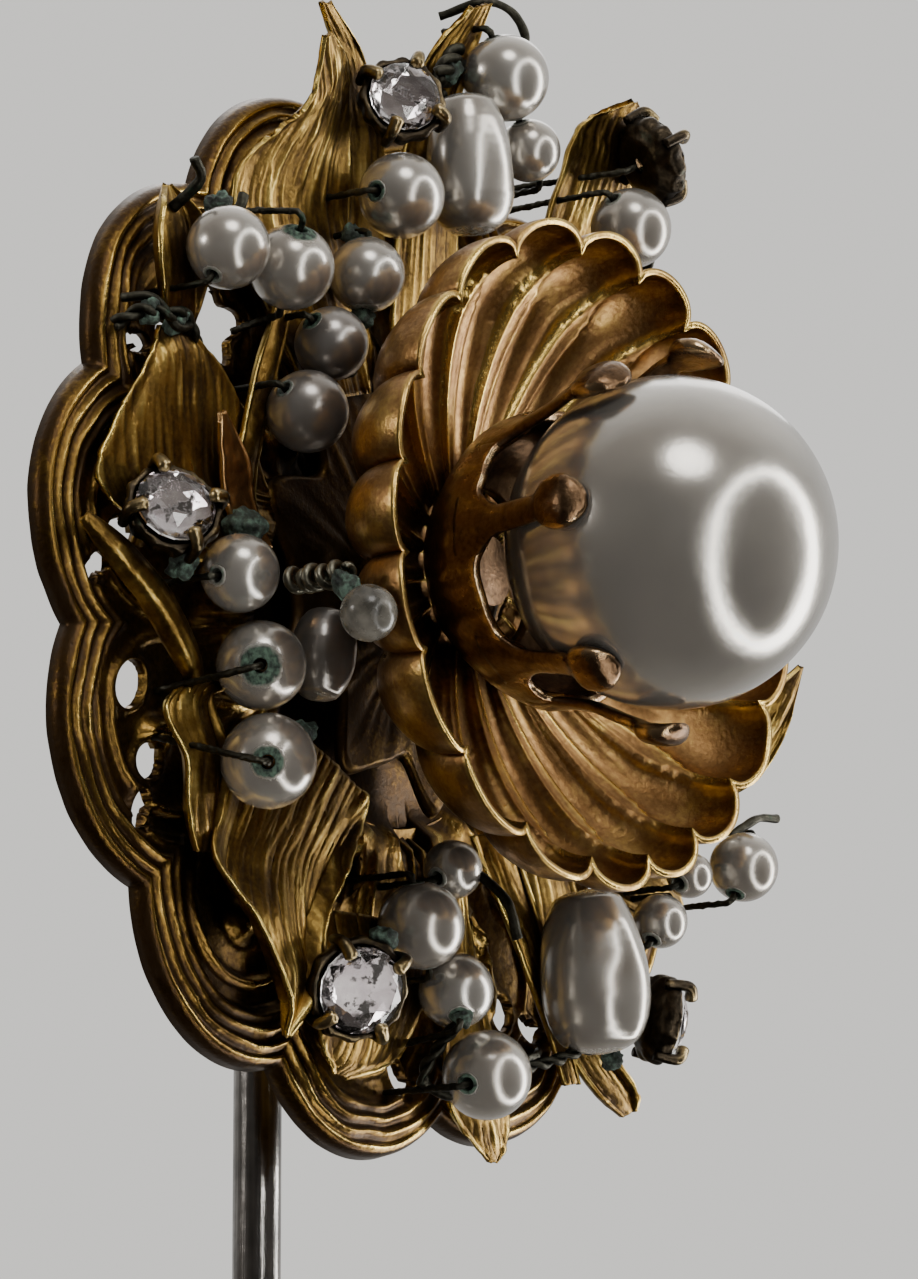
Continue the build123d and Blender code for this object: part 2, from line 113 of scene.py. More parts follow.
# ---------------------------------------------------------------- numbers and shapes
def unit(vector):
    """The vector, or each of the vectors, at length 1."""
    vector = np.asarray(vector, float)
    return vector / np.linalg.norm(vector, axis=-1, keepdims=True)


def step(low, high, value):
    """Smooth step from 0 at low to 1 at high."""
    t = np.clip((np.asarray(value, float) - low) / (high - low), 0, 1)
    return t * t * (3 - 2 * t)


def noise(points, size, seed=0):
    """Smooth noise from -1 to 1 with lumps of the given size, the same in every run."""
    p = np.asarray(points, float) / size + 31.7 * seed
    cell = np.floor(p).astype(np.int64)
    f = p - cell
    f = f * f * (3 - 2 * f)
    total = 0.0
    for corner in np.ndindex(2, 2, 2):
        c = cell + np.array(corner)
        bits = ((c[..., 0] * 73856093) ^ (c[..., 1] * 19349663) ^ (c[..., 2] * 83492791)) & 0xFFFFFFFF
        bits = ((bits ^ (bits >> 13)) * 1274126177) & 0xFFFFFFFF
        value = ((bits ^ (bits >> 16)) & 0xFFFF) / 32767.5 - 1
        total = total + value * np.prod(np.where(np.array(corner), f, 1 - f), -1)
    return total


def curve(points, count):
    """A smooth line through the points, count samples long."""
    p = np.asarray(points, float)
    if len(p) == 2:
        return p[0] + np.linspace(0, 1, count)[:, None] * (p[1] - p[0])
    padded = np.vstack([2 * p[0] - p[1], p, 2 * p[-1] - p[-2]])
    at = np.linspace(0, len(p) - 1, count)
    i = np.minimum(at.astype(int), len(p) - 2)
    t = (at - i)[:, None]
    a, b, c, d = (padded[i + k] for k in range(4))
    return 0.5 * (2 * b + (c - a) * t + (2 * a - 5 * b + 4 * c - d) * t**2
                  + (3 * b - a - 3 * c + d) * t**3)


def grid(rows, columns, wrap_rows=False, wrap_columns=False):
    """Quads between rows and columns of points."""
    r = np.arange(rows if wrap_rows else rows - 1)[:, None]
    c = np.arange(columns if wrap_columns else columns - 1)[None, :]
    up, along = (r + 1) % rows, (c + 1) % columns
    return np.stack([r * columns + c, r * columns + along, up * columns + along,
                     up * columns + c], -1).reshape(-1, 4)


def capped(rows, sides, flipped=False):
    """Faces of a round shape of rows x sides points, both ends closed."""
    faces = grid(rows, sides, wrap_columns=True).tolist()
    faces += [list(range(sides))[::-1], [(rows - 1) * sides + k for k in range(sides)]]
    return [face[::-1] for face in faces] if flipped else faces


def listed(text):
    """Points from a table's text: numbers parted by blanks, points by commas."""
    return np.array([[float(number) for number in point.split()] for point in text.split(",")])


def circle(sides):
    """Angles all round, evenly spaced."""
    return np.linspace(0, tau, sides, endpoint=False)


def rotated(x, y, angle):
    """x and y turned by one angle."""
    return x * cos(angle) - y * sin(angle), x * sin(angle) + y * cos(angle)


def turned(points, centre, direction):
    """Points drawn about the z axis, turned to a direction and moved to a centre."""
    z = unit(direction)
    x = unit(np.cross((0, 1, 0) if abs(z[1]) < 0.9 else (1, 0, 0), z))
    return np.asarray(centre) + np.asarray(points) @ np.array([x, np.cross(z, x), z])


def spun(profile, sides):
    """Rows of (radius, height) turned about z: an array of rows x sides points."""
    profile = np.asarray(profile, float)
    turn = circle(sides)
    return np.stack([profile[:, :1] * np.cos(turn), profile[:, :1] * np.sin(turn),
                     np.repeat(profile[:, 1:], sides, 1)], -1)


def frames_along(path):
    """Side vectors along a path that turn as little as possible."""
    ahead = unit(np.gradient(path, axis=0))
    side = np.cross(ahead[0], (0.3, 0.5, 0.8))
    sides = []
    for direction in ahead:
        side = unit(side - direction * (side @ direction))
        sides.append(side)
    sides = np.array(sides)
    return sides, np.cross(ahead, sides)


def tube(path, radius, sides=10):
    """Round tube along a path, with closed ends: points and faces. The radius may vary."""
    path = np.asarray(path, float)
    radius = np.broadcast_to(radius, len(path)).astype(float)
    one, two = frames_along(path)
    turn = circle(sides)
    round_ = one[:, None] * np.cos(turn)[:, None] + two[:, None] * np.sin(turn)[:, None]
    return (path[:, None] + radius[:, None, None] * round_).reshape(-1, 3), capped(len(path), sides)


def as_list(faces):
    """Faces as lists, as Blender wants them."""
    return faces.tolist() if isinstance(faces, np.ndarray) else faces


def joined(parts):
    """Several (points, faces) as one."""
    points, faces, start = [], [], 0
    for some, quads in parts:
        points.append(np.asarray(some).reshape(-1, 3))
        faces += [[start + v for v in quad] for quad in as_list(quads)]
        start += len(points[-1])
    return np.vstack(points), faces


def linked(name, data):
    """A new object in the scene."""
    made = bpy.data.objects.new(name, data)
    bpy.context.scene.collection.objects.link(made)
    return made


def mesh_object(name, points, faces, material):
    """A new mesh object; its points are in the row frame, metres."""
    mesh = bpy.data.meshes.new(name)
    mesh.from_pydata(points, [], faces)
    mesh.materials.append(material)
    return linked(name, mesh)


def piece(name, shape, material, slot, body="head", smooth=True, replaces=(), **attributes):
    """Makes a mesh piece from (points in the face frame, faces), and lets it ride on a body."""
    points, faces = shape
    made = mesh_object(name, to_row(np.asarray(points).reshape(-1, 3)).tolist(), as_list(faces), material)
    mesh = made.data
    for key, values in attributes.items():
        layer = mesh.attributes.new(key, "FLOAT", "POINT")
        layer.data.foreach_set("value", np.asarray(values, np.float32).ravel())
    mesh.polygons.foreach_set("use_smooth", np.full(len(mesh.polygons), smooth))
    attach(made, body)
    if replaces:
        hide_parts(*replaces)
    return made


def thicken(made, thickness, offset=-1.0):
    """Gives a sheet its thickness, mm, behind its surface."""
    solid = made.modifiers.new("sheet", "SOLIDIFY")
    solid.thickness = thickness * MM
    solid.offset = offset
    return made


# ---------------------------------------------------------------- material nodes
def add(tree, kind, inputs=(), **properties):
    """Adds a shader node; inputs are values or sockets to link."""
    made = tree.nodes.new("ShaderNode" + kind)
    for key, value in properties.items():
        setattr(made, key, value)
    for key, value in dict(inputs).items():
        if isinstance(value, bpy.types.NodeSocket):
            tree.links.new(value, made.inputs[key])
        else:
            made.inputs[key].default_value = value
    return made


def new_material(name):
    """A material, its node tree and its main shader."""
    material = bpy.data.materials.new(name)
    material.use_nodes = True
    return material, material.node_tree, material.node_tree.nodes["Principled BSDF"]


def link(tree, shader, **sockets):
    """Links values to the shader's inputs; blanks in an input's name are written _."""
    for key, value in sockets.items():
        tree.links.new(value, shader.inputs[key.replace("_", " ")])


def colour(rgb):
    return (*rgb, 1.0)


def maths(tree, operation, a, b=0.5, c=0.5):
    return add(tree, "Math", {0: a, 1: b, 2: c}, operation=operation).outputs[0]


def mixed(tree, factor, a, b):
    return add(tree, "Mix", {0: factor, 6: a, 7: b}, data_type="RGBA").outputs[2]


def spread(tree, value, from_low, from_high, to_low, to_high):
    """A value mapped from one range to another, clamped."""
    return add(tree, "MapRange", {0: value, 1: from_low, 2: from_high, 3: to_low, 4: to_high}).outputs[0]


def ramp(tree, value, *stops):
    """Colour ramp from (position, colour) stops."""
    made = add(tree, "ValToRGB", {0: value})
    elements = made.color_ramp.elements
    while len(elements) < len(stops):
        elements.new(0.5)
    for element, (position, rgb) in zip(elements, stops):
        element.position, element.color = position, colour(rgb)
    return made.outputs[0]


def spots(tree, per_mm, detail=4.0, roughness=0.55, stretch=(1, 1, 1)):
    """Noise over the object's own coordinates, with this many lumps to a millimetre."""
    place = add(tree, "TexCoord").outputs["Object"]
    place = add(tree, "Mapping", {0: place, 3: stretch}).outputs[0]
    return add(tree, "TexNoise", {"Vector": place, "Scale": per_mm / MM, "Detail": detail,
                                  "Roughness": roughness}).outputs[0]


def bumped(tree, height, depth_mm, strength=1.0, under=None):
    """Bumps of this depth, over other bumps if any."""
    inputs = {"Height": height, "Distance": depth_mm * MM, "Strength": strength}
    if under is not None:
        inputs["Normal"] = under
    return add(tree, "Bump", inputs).outputs[0]


def aged_metal(name, dark, middle, bright, polish, start, green=0.0, grain=(1, 1, 1)):
    """Gilt or bare metal: bright where it is worn or carries a painted highlight, brown in its hollows from
    tarnish and from painted shade, blotched and pitted.
    """
    material, tree, shader = new_material(name)
    # This attribute holds real rubbing and tarnish, and on the base, the leaf disc and the cup also painted
    # highlights and painted shade.
    wear = add(tree, "Attribute", attribute_name="wear").outputs["Fac"]
    blotches, grit = spots(tree, 0.55, 5), spots(tree, 5.0, 4, stretch=grain)
    # Painted shade: ambient occlusion darkens the colour in hollows and between parts, where shade falls.
    ao_painted_shade = add(tree, "AmbientOcclusion", {"Distance": 0.9 * MM}, samples=6).outputs["AO"]
    level = maths(tree, "MULTIPLY_ADD", wear, 0.55, start - 0.62)
    for part, weight in ((blotches, 0.55), (grit, 0.35), (ao_painted_shade, 0.32)):
        level = maths(tree, "ADD", level, maths(tree, "MULTIPLY", part, weight))
    tint = ramp(tree, level, (0.05, [c * 0.55 for c in dark]), (0.26, dark), (0.5, middle), (0.85, bright))
    if green:
        rust = spread(tree, spots(tree, 0.9, 6, 0.7), 0.58, 0.70, 0.0, green)
        tint = mixed(tree, rust, tint, colour((0.035, 0.065, 0.045)))
    roughness = spread(tree, level, 0.15, 0.8, polish + 0.2, polish)
    bump = bumped(tree, blotches, 0.10, 0.4, bumped(tree, grit, 0.035, 0.6))
    link(tree, shader, Base_Color=tint, Roughness=roughness, Normal=bump)
    link(tree, shader, Metallic=spread(tree, level, 0.02, 0.3, 0.55, 1.0))
    return material


def pearl_material(name, tint, shade, metal, roughness):
    """Imitation pearl: a glossy nacre coat, uneven in tint, stained green round the drilled hole."""
    material, tree, shader = new_material(name)
    cloudy, fine = spots(tree, 0.45, 4), spots(tree, 7.0, 3)
    crust_here = add(tree, "Attribute", attribute_name="crust").outputs["Fac"]
    stain = maths(tree, "ADD", maths(tree, "MULTIPLY_ADD", spots(tree, 3.5, 5, 0.7), 0.9, -0.45), crust_here)
    stain = spread(tree, stain, 0.35, 0.75, 0.0, 1.0)
    nacre = mixed(tree, spread(tree, cloudy, 0.35, 0.7, 0.0, 1.0), colour(tint), colour(shade))
    verdigris = ramp(tree, spots(tree, 6.0, 4), (0.35, (0.012, 0.02, 0.016)), (0.65, (0.10, 0.17, 0.12)))
    link(tree, shader, Base_Color=mixed(tree, stain, nacre, verdigris))
    link(tree, shader, Metallic=spread(tree, stain, 0.0, 1.0, metal, 0.0))
    link(tree, shader, Roughness=spread(tree, stain, 0.0, 1.0, roughness, 0.8))
    bump = bumped(tree, cloudy, 0.05, 0.5, bumped(tree, fine, 0.0015, 0.5))
    rough_crust = maths(tree, "MULTIPLY", stain, spots(tree, 5.0, 5, 0.7))
    link(tree, shader, Normal=bumped(tree, rough_crust, 0.12, 0.9, bump))
    link(tree, shader, Coat_Weight=spread(tree, stain, 0.0, 1.0, 0.3, 0.0))
    shader.inputs["Coat Roughness"].default_value = 0.12
    shader.inputs["Coat IOR"].default_value = 1.6
    return material


GILT = aged_metal("gilt_brass", (0.065, 0.034, 0.011), (0.29, 0.175, 0.043), (0.80, 0.60, 0.19), 0.20, 0.24)
LEAF = aged_metal("leaf_brass", (0.085, 0.046, 0.013), (0.33, 0.205, 0.052), (0.80, 0.60, 0.18), 0.26, 0.24)
CUP = aged_metal("cup_bronze", (0.120, 0.056, 0.020), (0.34, 0.190, 0.072), (0.80, 0.56, 0.16), 0.27, 0.36)
CLAW = aged_metal("setting_brass", (0.062, 0.036, 0.020), (0.215, 0.130, 0.070), (0.72, 0.53, 0.30),
                  0.18, 0.24)
COPPER = aged_metal("bare_copper", (0.14, 0.065, 0.022), (0.50, 0.27, 0.10), (0.80, 0.50, 0.22), 0.30, 0.40)
WIRE = aged_metal("wire", (0.016, 0.016, 0.012), (0.075, 0.072, 0.055), (0.30, 0.29, 0.22), 0.40, 0.30, 0.9)
COIL = aged_metal("coil", (0.04, 0.038, 0.027), (0.20, 0.19, 0.145), (0.52, 0.49, 0.40), 0.30, 0.36, 0.6)
TARNISH = aged_metal("stone_setting_metal", (0.014, 0.011, 0.008), (0.060, 0.046, 0.030), (0.46, 0.35, 0.17),
                     0.28, 0.28, 0.5)
STEEL = aged_metal("pin_steel", (0.018, 0.017, 0.016), (0.10, 0.098, 0.095), (0.42, 0.40, 0.38), 0.16, 0.30,
                   grain=(1, 1, 0.03))
BIG_PEARL = pearl_material("big_pearl", (0.505, 0.48, 0.435), (0.44, 0.42, 0.385), 0.80, 0.21)
SEED = pearl_material("seed_pearl", (0.52, 0.50, 0.46), (0.44, 0.40, 0.35), 0.76, 0.26)
# Darker copy of the pearl material, for the pearls that sit tucked under in deep shade: painted shade.
PAINTED_SHADE_NACRE = pearl_material("dark_pearl", (0.36, 0.345, 0.33), (0.28, 0.25, 0.22), 0.78, 0.28)


# ---------------------------------------------------------------- base filigree
LOBES = 12
FIRST_LOBE = radians(23.8)
LOBE_HALF = pi / LOBES
LOBE_CENTRE = 13.79          # head centre to a lobe's own centre
LOBE_RADIUS = 6.21
PLAIN_LOBE = 7               # counted round from FIRST_LOBE: this lobe has no pierced holes
LOBE_COLUMNS = 58            # columns of points to a lobe
BASE_SHEET = 0.4             # thickness of the stamping, mm
BASE_EDGE = 0.85             # depth of its turned edge
RIDGE_FROM, RIDGE_PITCH, RIDGE_HEIGHT = 0.30, 0.58, 0.26
HOLLOW_DEPTH = 0.55          # depth of the middle of a lobe
INNER_RIB = 3.15             # how far in from a lobe's edge the inner rib runs
LIP_LEVEL = -0.42            # height of the metal round a pierced hole
# Pierced holes in each lobe: place out from and across the lobe's centre, half sizes, turn.
HOLES = ((1.5, -1.9, 1.0, 0.75, 0.5), (1.6, 0.9, 0.75, 0.66, 0.0), (2.7, 2.3, 0.45, 0.8, -0.9))
# Gaps between the lobes' roots: place in the face frame, half sizes, turn.
GAPS = ((-10.5, 9.3, 1.6, 1.3, 0.3), (-2.5, -10.0, 0.8, 0.8, 0.2), (4.8, -11.7, 0.7, 1.1, 0.1),
        (9.9, 8.3, 0.7, 1.2, -0.7), (11.9, -4.8, 0.7, 1.1, 1.2))


def base_filigree():
    """Twelve-lobed stamping: turned edge, ridges along it, a stem in each lobe, pierced holes and gaps."""
    columns = np.arange(LOBES * LOBE_COLUMNS)
    angle = FIRST_LOBE + columns * (tau / len(columns))
    around = (angle - FIRST_LOBE + LOBE_HALF) % (2 * LOBE_HALF) - LOBE_HALF
    lobe = np.round((angle - FIRST_LOBE) / (2 * LOBE_HALF)).astype(int) % LOBES
    outline = LOBE_CENTRE * np.cos(around) + np.sqrt(LOBE_RADIUS**2 - (LOBE_CENTRE * np.sin(around))**2)
    inset = np.concatenate([np.arange(0, 3.2, 0.08), np.arange(3.2, 7.6, 0.17), np.linspace(7.8, 17.4, 14)])
    share = 1 - inset / 18.4
    radius = 1.0 + (outline - 1.0) * share[:, None]
    x, y = radius * np.cos(angle), radius * np.sin(angle)
    out, across = radius * np.cos(around) - LOBE_CENTRE, radius * np.sin(around)
    flat = np.stack([x, y, 0 * x], -1)
    inside = np.maximum(LOBE_RADIUS - np.hypot(out, across), 0)      # distance in from the lobe's own edge
    inside = inside + (0.10 * noise(flat, 2.4, 3) + 0.05 * noise(flat, 0.8, 4)) * step(0.5, 1.2, inside)

    # Height: the turned edge, the ridges along it, then the hollow with its stem, knob and inner rib.
    roll = np.clip(inside / 0.42, 0, 1)
    height = -BASE_EDGE + 0.82 * np.sqrt(1 - (1 - roll)**2)
    # The comb is 1 on a ridge's top and 0 in a groove.
    comb = np.abs((inside + 0.14 * noise(flat, 1.5, 10) - RIDGE_FROM) / RIDGE_PITCH % 1 - 0.5) * 2
    band = step(0.38, 0.55, inside) * (1 - step(1.8, 2.05, inside))
    uneven = 0.75 + 0.45 * noise(flat, 1.6, 7)
    height += band * uneven * (RIDGE_HEIGHT * comb**1.4 - 0.16)
    hollow = step(1.9, 2.4, inside) * step(-5.5, -3.6, out)
    height -= HOLLOW_DEPTH * hollow
    inner_rib = np.exp(-((inside - INNER_RIB) / 0.17)**2) * step(-2.6, -1.6, out)
    inner_rib = inner_rib * (0.6 + 0.5 * noise(flat, 2.6, 9))
    centre_line = across - 0.45 * np.sin(out * 1.1 + lobe)
    stem = np.exp(-(centre_line / 0.42)**4) * step(1.0, 0.2, out) * step(-5.2, -4.2, out)
    knob = np.exp(-(((out - 0.95)**2 + (across - 0.25)**2) / 0.75**2)**2)
    height += 0.62 * hollow * np.clip(stem + knob + 0.65 * inner_rib, 0, 1)
    height += 0.035 * noise(flat, 0.7, 5) + 0.05 * noise(flat, 3.0, 6)
    # Rubbing and painted light: bright on the ridges' tops and the edge, dark in the grooves; the outward
    # face of the turned edge is darkened as painted shade, and the hollow's floor is made a little darker.
    wear = band * comb**3 * 0.75 + np.exp(-((inside - 0.44) / 0.09)**2)
    wear = wear + 0.45 * stem + 0.35 * knob + 0.5 * inner_rib
    wear = np.clip(wear, 0, 1) * (0.62 + 0.4 * noise(flat, 1.3, 8)) - 0.22 * step(0.8, 0.2, comb) * band
    # Painted shade on the outward face of the turned edge, then a slight darkening of the hollow's floor.
    wear -= 0.30 * step(0.36, 0.2, inside) + 0.06 * hollow * (1 - np.clip(stem + knob + inner_rib, 0, 1))

    points = np.stack([x, y, height], -1)
    pierced = np.zeros(x.shape, int)

    def pierce(number, u, v, half_u, half_v, where=True):
        """Marks the grid's points in an oval hole, and says how far out they lie from its middle."""
        reach = np.sqrt((u / half_u)**2 + (v / half_v)**2)
        inner = (reach < 1) & where & (pierced == 0)
        lip = step(1.45, 1.1, reach) * where
        points[..., 2] += lip * (LIP_LEVEL - points[..., 2])
        pierced[inner] = number
        return np.where(inner, 1 / np.maximum(reach, 0.05), 1.0)

    for number, (place_out, place_across, half_u, half_v, turn) in enumerate(HOLES, 1):
        u, v = out - place_out, across - place_across
        scale = pierce(number, *rotated(u, v, -turn), half_u, half_v, (lobe != PLAIN_LOBE)[None, :])
        move_out, move_across = u * (scale - 1), v * (scale - 1)
        middle = angle - around
        points[..., 0] += move_out * np.cos(middle) - move_across * np.sin(middle)
        points[..., 1] += move_out * np.sin(middle) + move_across * np.cos(middle)
    for number, (gap_x, gap_y, half_u, half_v, turn) in enumerate(GAPS, 11):
        u, v = x - gap_x, y - gap_y
        ru, rv = rotated(u, v, -turn)
        star = 1 + 0.22 * np.cos(5 * np.arctan2(rv, ru))
        scale = pierce(number, ru / star, rv / star, half_u, half_v)
        points[..., 0] += u * (scale - 1)
        points[..., 1] += v * (scale - 1)

    faces = grid(len(inset), len(columns), wrap_columns=True)
    faces = faces[~(pierced.ravel()[faces] > 0).all(1)]
    used = np.unique(faces)
    renumber = np.full(pierced.size, -1)
    renumber[used] = np.arange(len(used))
    made = piece("base_filigree_sheet", (points.reshape(-1, 3)[used], renumber[faces]), GILT, "gilt_brass",
                 replaces=("base_filigree",), wear=wear.ravel()[used])
    return thicken(made, BASE_SHEET)


# ---------------------------------------------------------------- leaves
# Each leaf: crown of the blade, whether it has a grain along it, fold, and its left and right edges from
# root to tip.
LEAVES = {
    "leaf_top_left": (0.35, 0.3, 0.0,
        "-6.5 7 0.8, -10.1 12.4 0.5, -10.5 14.9 0.7, -9 16.6 1.3, -8 17.8 1.9, -7.8 20.2 2.6",
        "-3 8 0.8, -4.2 13.6 0.8, -4.2 15.9 0.8, -4.7 18.4 1.2, -5.7 19.9 1.8, -7.4 20.4 2.6"),
    "leaf_top_left_tip": (0.25, 0.34, 0.0,
        "-4 12 0.6, -4 17.1 0.6, -5.3 20.1 1.2, -7.3 21.7 2",
        "-1.9 12 0.6, -1.9 17.6 0.6, -3.8 20.5 1.2, -6.7 21.8 2"),
    "leaf_top": (0.3, 0.3, 0.0,
        "-1.4 9 0.6, -1.2 15 0.7, -0.6 19 0.9, -0.3 21.3 1.5, 1 23.4 2.6",
        "2.4 9 0.6, 2.4 15 0.8, 1.4 19.3 1.6, 1.6 21.6 2.2, 2 23.8 2.8"),
    "leaf_top_right": (0.3, 0.28, 0.0,
        "4.4 9 0.7, 6.2 14 1.3, 7.2 18.9 2.4, 7.6 20.5 3.2, 9.9 21.6 3.8",
        "7 8 0.7, 11 12.8 1.1, 12.8 17.7 2.2, 11.6 20.7 3.3, 10.2 21.6 3.8"),
    "leaf_upper_left": (0.3, 0.5, 0.45,
        "-14 8.2 0.4, -14.8 9.2 0.7, -15.5 10.6 0.9, -15.3 12.2 0.8, -14.2 13.5 0.5",
        "-12.6 8.6 0.4, -12.8 9.4 0.8, -12.9 10.8 0.9, -13.2 12.4 0.8, -14 13.6 0.5"),
    "leaf_left": (0.4, 0.36, 0.0,
        "-9 0.6 0.6, -15 0.9 0.5, -17.9 2.2 0.5, -17.2 4.4 0.6, -16 6.4 0.8, -15 8.2 0.9",
        "-8 2.6 0.6, -8.4 3.2 0.6, -8.8 3.8 0.6, -10.4 6 0.9, -12.1 7.5 1, -14.1 8.5 1"),
    "leaf_beaded_strip": (0.35, 0.0, 0.0,
        "-10.6 0.6 0.8, -11.1 2.9 1, -10.7 5.2 1.2, -10.1 7.5 1.3, -9.2 9.7 1.3, -8.6 11.2 1.1",
        "-9.2 0.6 0.8, -9.8 3.2 1, -9.5 5.4 1.2, -8.9 7.7 1.3, -8.2 9.9 1.3, -7.8 11.2 1.1"),
    "leaf_copper": (0.2, 0.0, 0.0,
        "-10.6 0.9 1.1, -11.8 2.5 1.35, -12.5 4.1 1.7, -12.8 5.3 2",
        "-9 1.2 1.1, -10.3 2.7 1.35, -11 4 1.7, -12.6 5.4 2"),
    "leaf_left_curl": (1.35, 0.0, 0.0,
        "-18.8 0.7 0.6, -18 -0.2 0.7, -17 -1 0.8, -15.6 -2 0.8, -13.8 -3.5 0.7, -12.4 -4.6 0.6",
        "-18.7 0.8 0.7, -17.4 0.2 1, -16.3 -0.5 1.2, -14.8 -1.5 1.2, -13.1 -3.2 1, -12.3 -4.5 0.6"),
    "leaf_left_small": (0.35, 0.45, 0.3,
        "-9 -3.4 0.5, -14.4 -5.1 0.6, -13.9 -7.2 0.8, -13.7 -8.9 0.8, -12.8 -10.2 0.7",
        "-8 -3.8 0.5, -12 -4.7 0.8, -11.5 -6.8 0.9, -11.7 -8.5 0.9, -11.9 -10.1 0.7"),
    "leaf_lower_left": (0.4, 0.36, 0.55,
        "-9 -4.6 0.6, -11.3 -8.2 0.6, -12.4 -10.6 0.8, -11 -12.5 1.3, -9.3 -14.6 1.3, -8 -16.2 1",
        "-3 -7 0.7, -3.6 -8.4 0.7, -4.7 -9.9 0.7, -6.4 -12.2 0.8, -6.8 -14.1 0.9, -7.8 -16.2 1"),
    "leaf_low_left": (0.35, 0.34, 0.0,
        "-5.6 -11.4 0.3, -6.4 -13.2 0.6, -6.1 -14.9 0.7, -5.7 -16.5 0.8, -4.9 -17.2 0.8",
        "0.6 -11.4 0.3, 1.2 -12.6 0.6, 0.3 -14.4 0.6, -1.6 -16.4 0.7, -4.3 -17.3 0.8"),
    "leaf_low": (0.35, 0.4, 0.0,
        "1.6 -8.8 0.5, 1.8 -14 0.5, 2.1 -17.3 0.4, 2.9 -18.5 0.5, 4.9 -19.4 0.4",
        "3 -8.8 0.5, 3.8 -13.2 0.6, 5.6 -17 0.5, 5.6 -18.7 0.5, 5.3 -19.5 0.4"),
    "leaf_lower_right_band": (0.4, 0.42, 0.3,
        "3.4 -7.6 0.6, 4.2 -9.1 0.7, 5.9 -12 0.9, 7.5 -14.4 1, 8.6 -16.4 1",
        "5.2 -7.2 0.9, 6 -9 1.2, 7.6 -11.8 1.3, 8.6 -14.3 1.3, 9.6 -16.2 1.1"),
    "leaf_lower_right_tip": (0.35, 0.4, 0.3,
        "5.8 -6.8 0.6, 7.6 -12 0.6, 9 -15 0.7, 10.7 -16.5 0.8, 12.6 -17.2 0.8",
        "8.2 -5.2 0.7, 10.6 -11.4 0.9, 11.5 -14.6 1, 13 -16 1, 13.5 -16.8 0.9"),
    "leaf_right_low": (0.35, 0.36, 0.0,
        "7.2 -5.8 0.6, 11.6 -9 0.7, 14.6 -9.8 0.8, 16.9 -8.9 0.8",
        "8.6 -3 0.6, 12.6 -5.6 0.7, 15.4 -6.6 0.8, 17 -8.7 0.8"),
    "leaf_right_bent": (0.25, 0.34, 0.0,
        "8.4 -2.4 0.6, 13.6 -3.4 0.9, 16.8 -2.4 2, 17.8 -1.4 3.2, 18.1 -0.3 4.4, 19 0.6 5.2",
        "8.8 -4.6 0.6, 15 -6.2 0.9, 19 -4.1 1.6, 19.4 -3.3 3, 19.4 -1.7 4.2, 19.2 0.7 5.2"),
    "leaf_right": (0.35, 0.36, 0.0,
        "8.4 2.6 0.6, 12.4 4 0.7, 15.6 6 0.8, 17.7 8.1 0.8",
        "7 5.6 0.6, 10.6 8.2 0.7, 14.6 9.2 0.8, 17.6 8.2 0.8"),
    "leaf_upper_right": (0.35, 0.36, 0.0,
        "7.6 6.2 0.6, 10.8 8.8 0.7, 12.8 12 0.8, 13 15.4 0.8",
        "4.8 8 0.6, 7.8 11.2 0.7, 10.4 14.2 0.8, 12.9 15.5 0.8"),
}
LEAF_SHEET = 0.2             # thickness of a leaf, mm
DISC_SHEET, DISC_SIDES = 0.3, 240


def leaf(name, left, right, crown, grained, fold, seed):
    """A blade between two edges: crowned, grained along its length, with worn edges."""
    one, two = listed(left), listed(right)
    length = np.linalg.norm(np.diff((one + two) / 2, axis=0), axis=1).sum()
    widest = np.linalg.norm(two - one, axis=1).max()
    rows, columns = max(30, int(length / 0.13)), max(20, int(widest / 0.075))
    one, two = curve(one, rows), curve(two, rows)
    width = np.linalg.norm(two - one, axis=1)[:, None]
    across = np.linspace(0, 1, columns)[None, :]
    points = one[:, None] * (1 - across[..., None]) + two[:, None] * across[..., None]
    along = np.gradient((one + two) / 2, axis=0)
    facing = np.cross(two - one, along)
    facing = unit(facing * np.where(facing[:, 2:] < 0, -1, 1) + (0, 0, 1e-6))[:, None]

    # The blade's surface is lifted along its own facing: crown, grain, then the curl of its edges.
    down = np.linspace(0, 1, rows)[:, None]
    from_middle = np.abs(across * 2 - 1)
    lift = crown * np.minimum(width / 3, 1) * (1 - from_middle**2)
    warp = noise(points, 2.4, seed)
    if grained:
        side = (across - 0.5) * np.maximum(width, 1.2) + 0.22 * warp + 0 * down
        grain = np.stack([side / 0.20, length * down / 1.9 + 0 * side, 0 * side], -1)
        fine = np.stack([side / 0.11, length * down / 1.1 + 0 * side, 0 * side], -1)
        ridge = np.clip(0.5 + 0.42 * noise(grain, 1.0, seed + 1) + 0.25 * noise(fine, 1.0, seed + 3), 0, 1)
    else:
        ridge = 0.5 + 0.35 * noise(points, 0.42, seed + 1) + 0.15 * noise(points, 0.2, seed + 2)
    patches = 0.5 + 0.5 * noise(points, 1.3, seed + 4)
    lift = lift + 0.11 * np.minimum(width / 1.6, 1) * (ridge - 0.5)
    curl = step(0.74, 1.0, from_middle) * (0.16 + fold * step(0.1, 0.5, down))
    lift = lift + curl * np.minimum(width / 2, 1) + 0.05 * warp
    points = points + facing * lift[..., None]
    edge = step(0.92, 0.99, from_middle) * (0.55 + 0.4 * warp)
    wear = np.clip(0.8 * ridge**2 * (0.35 + 0.8 * patches) + edge, 0, 1)
    wear = wear - 0.3 * (1 - patches) * (1 - ridge)
    material, slot = (COPPER, "cup_bronze") if name == "leaf_copper" else (LEAF, "leaf_brass")
    made = piece(name, (points, grid(rows, columns)), material, slot, wear=wear)
    return thicken(made, LEAF_SHEET)


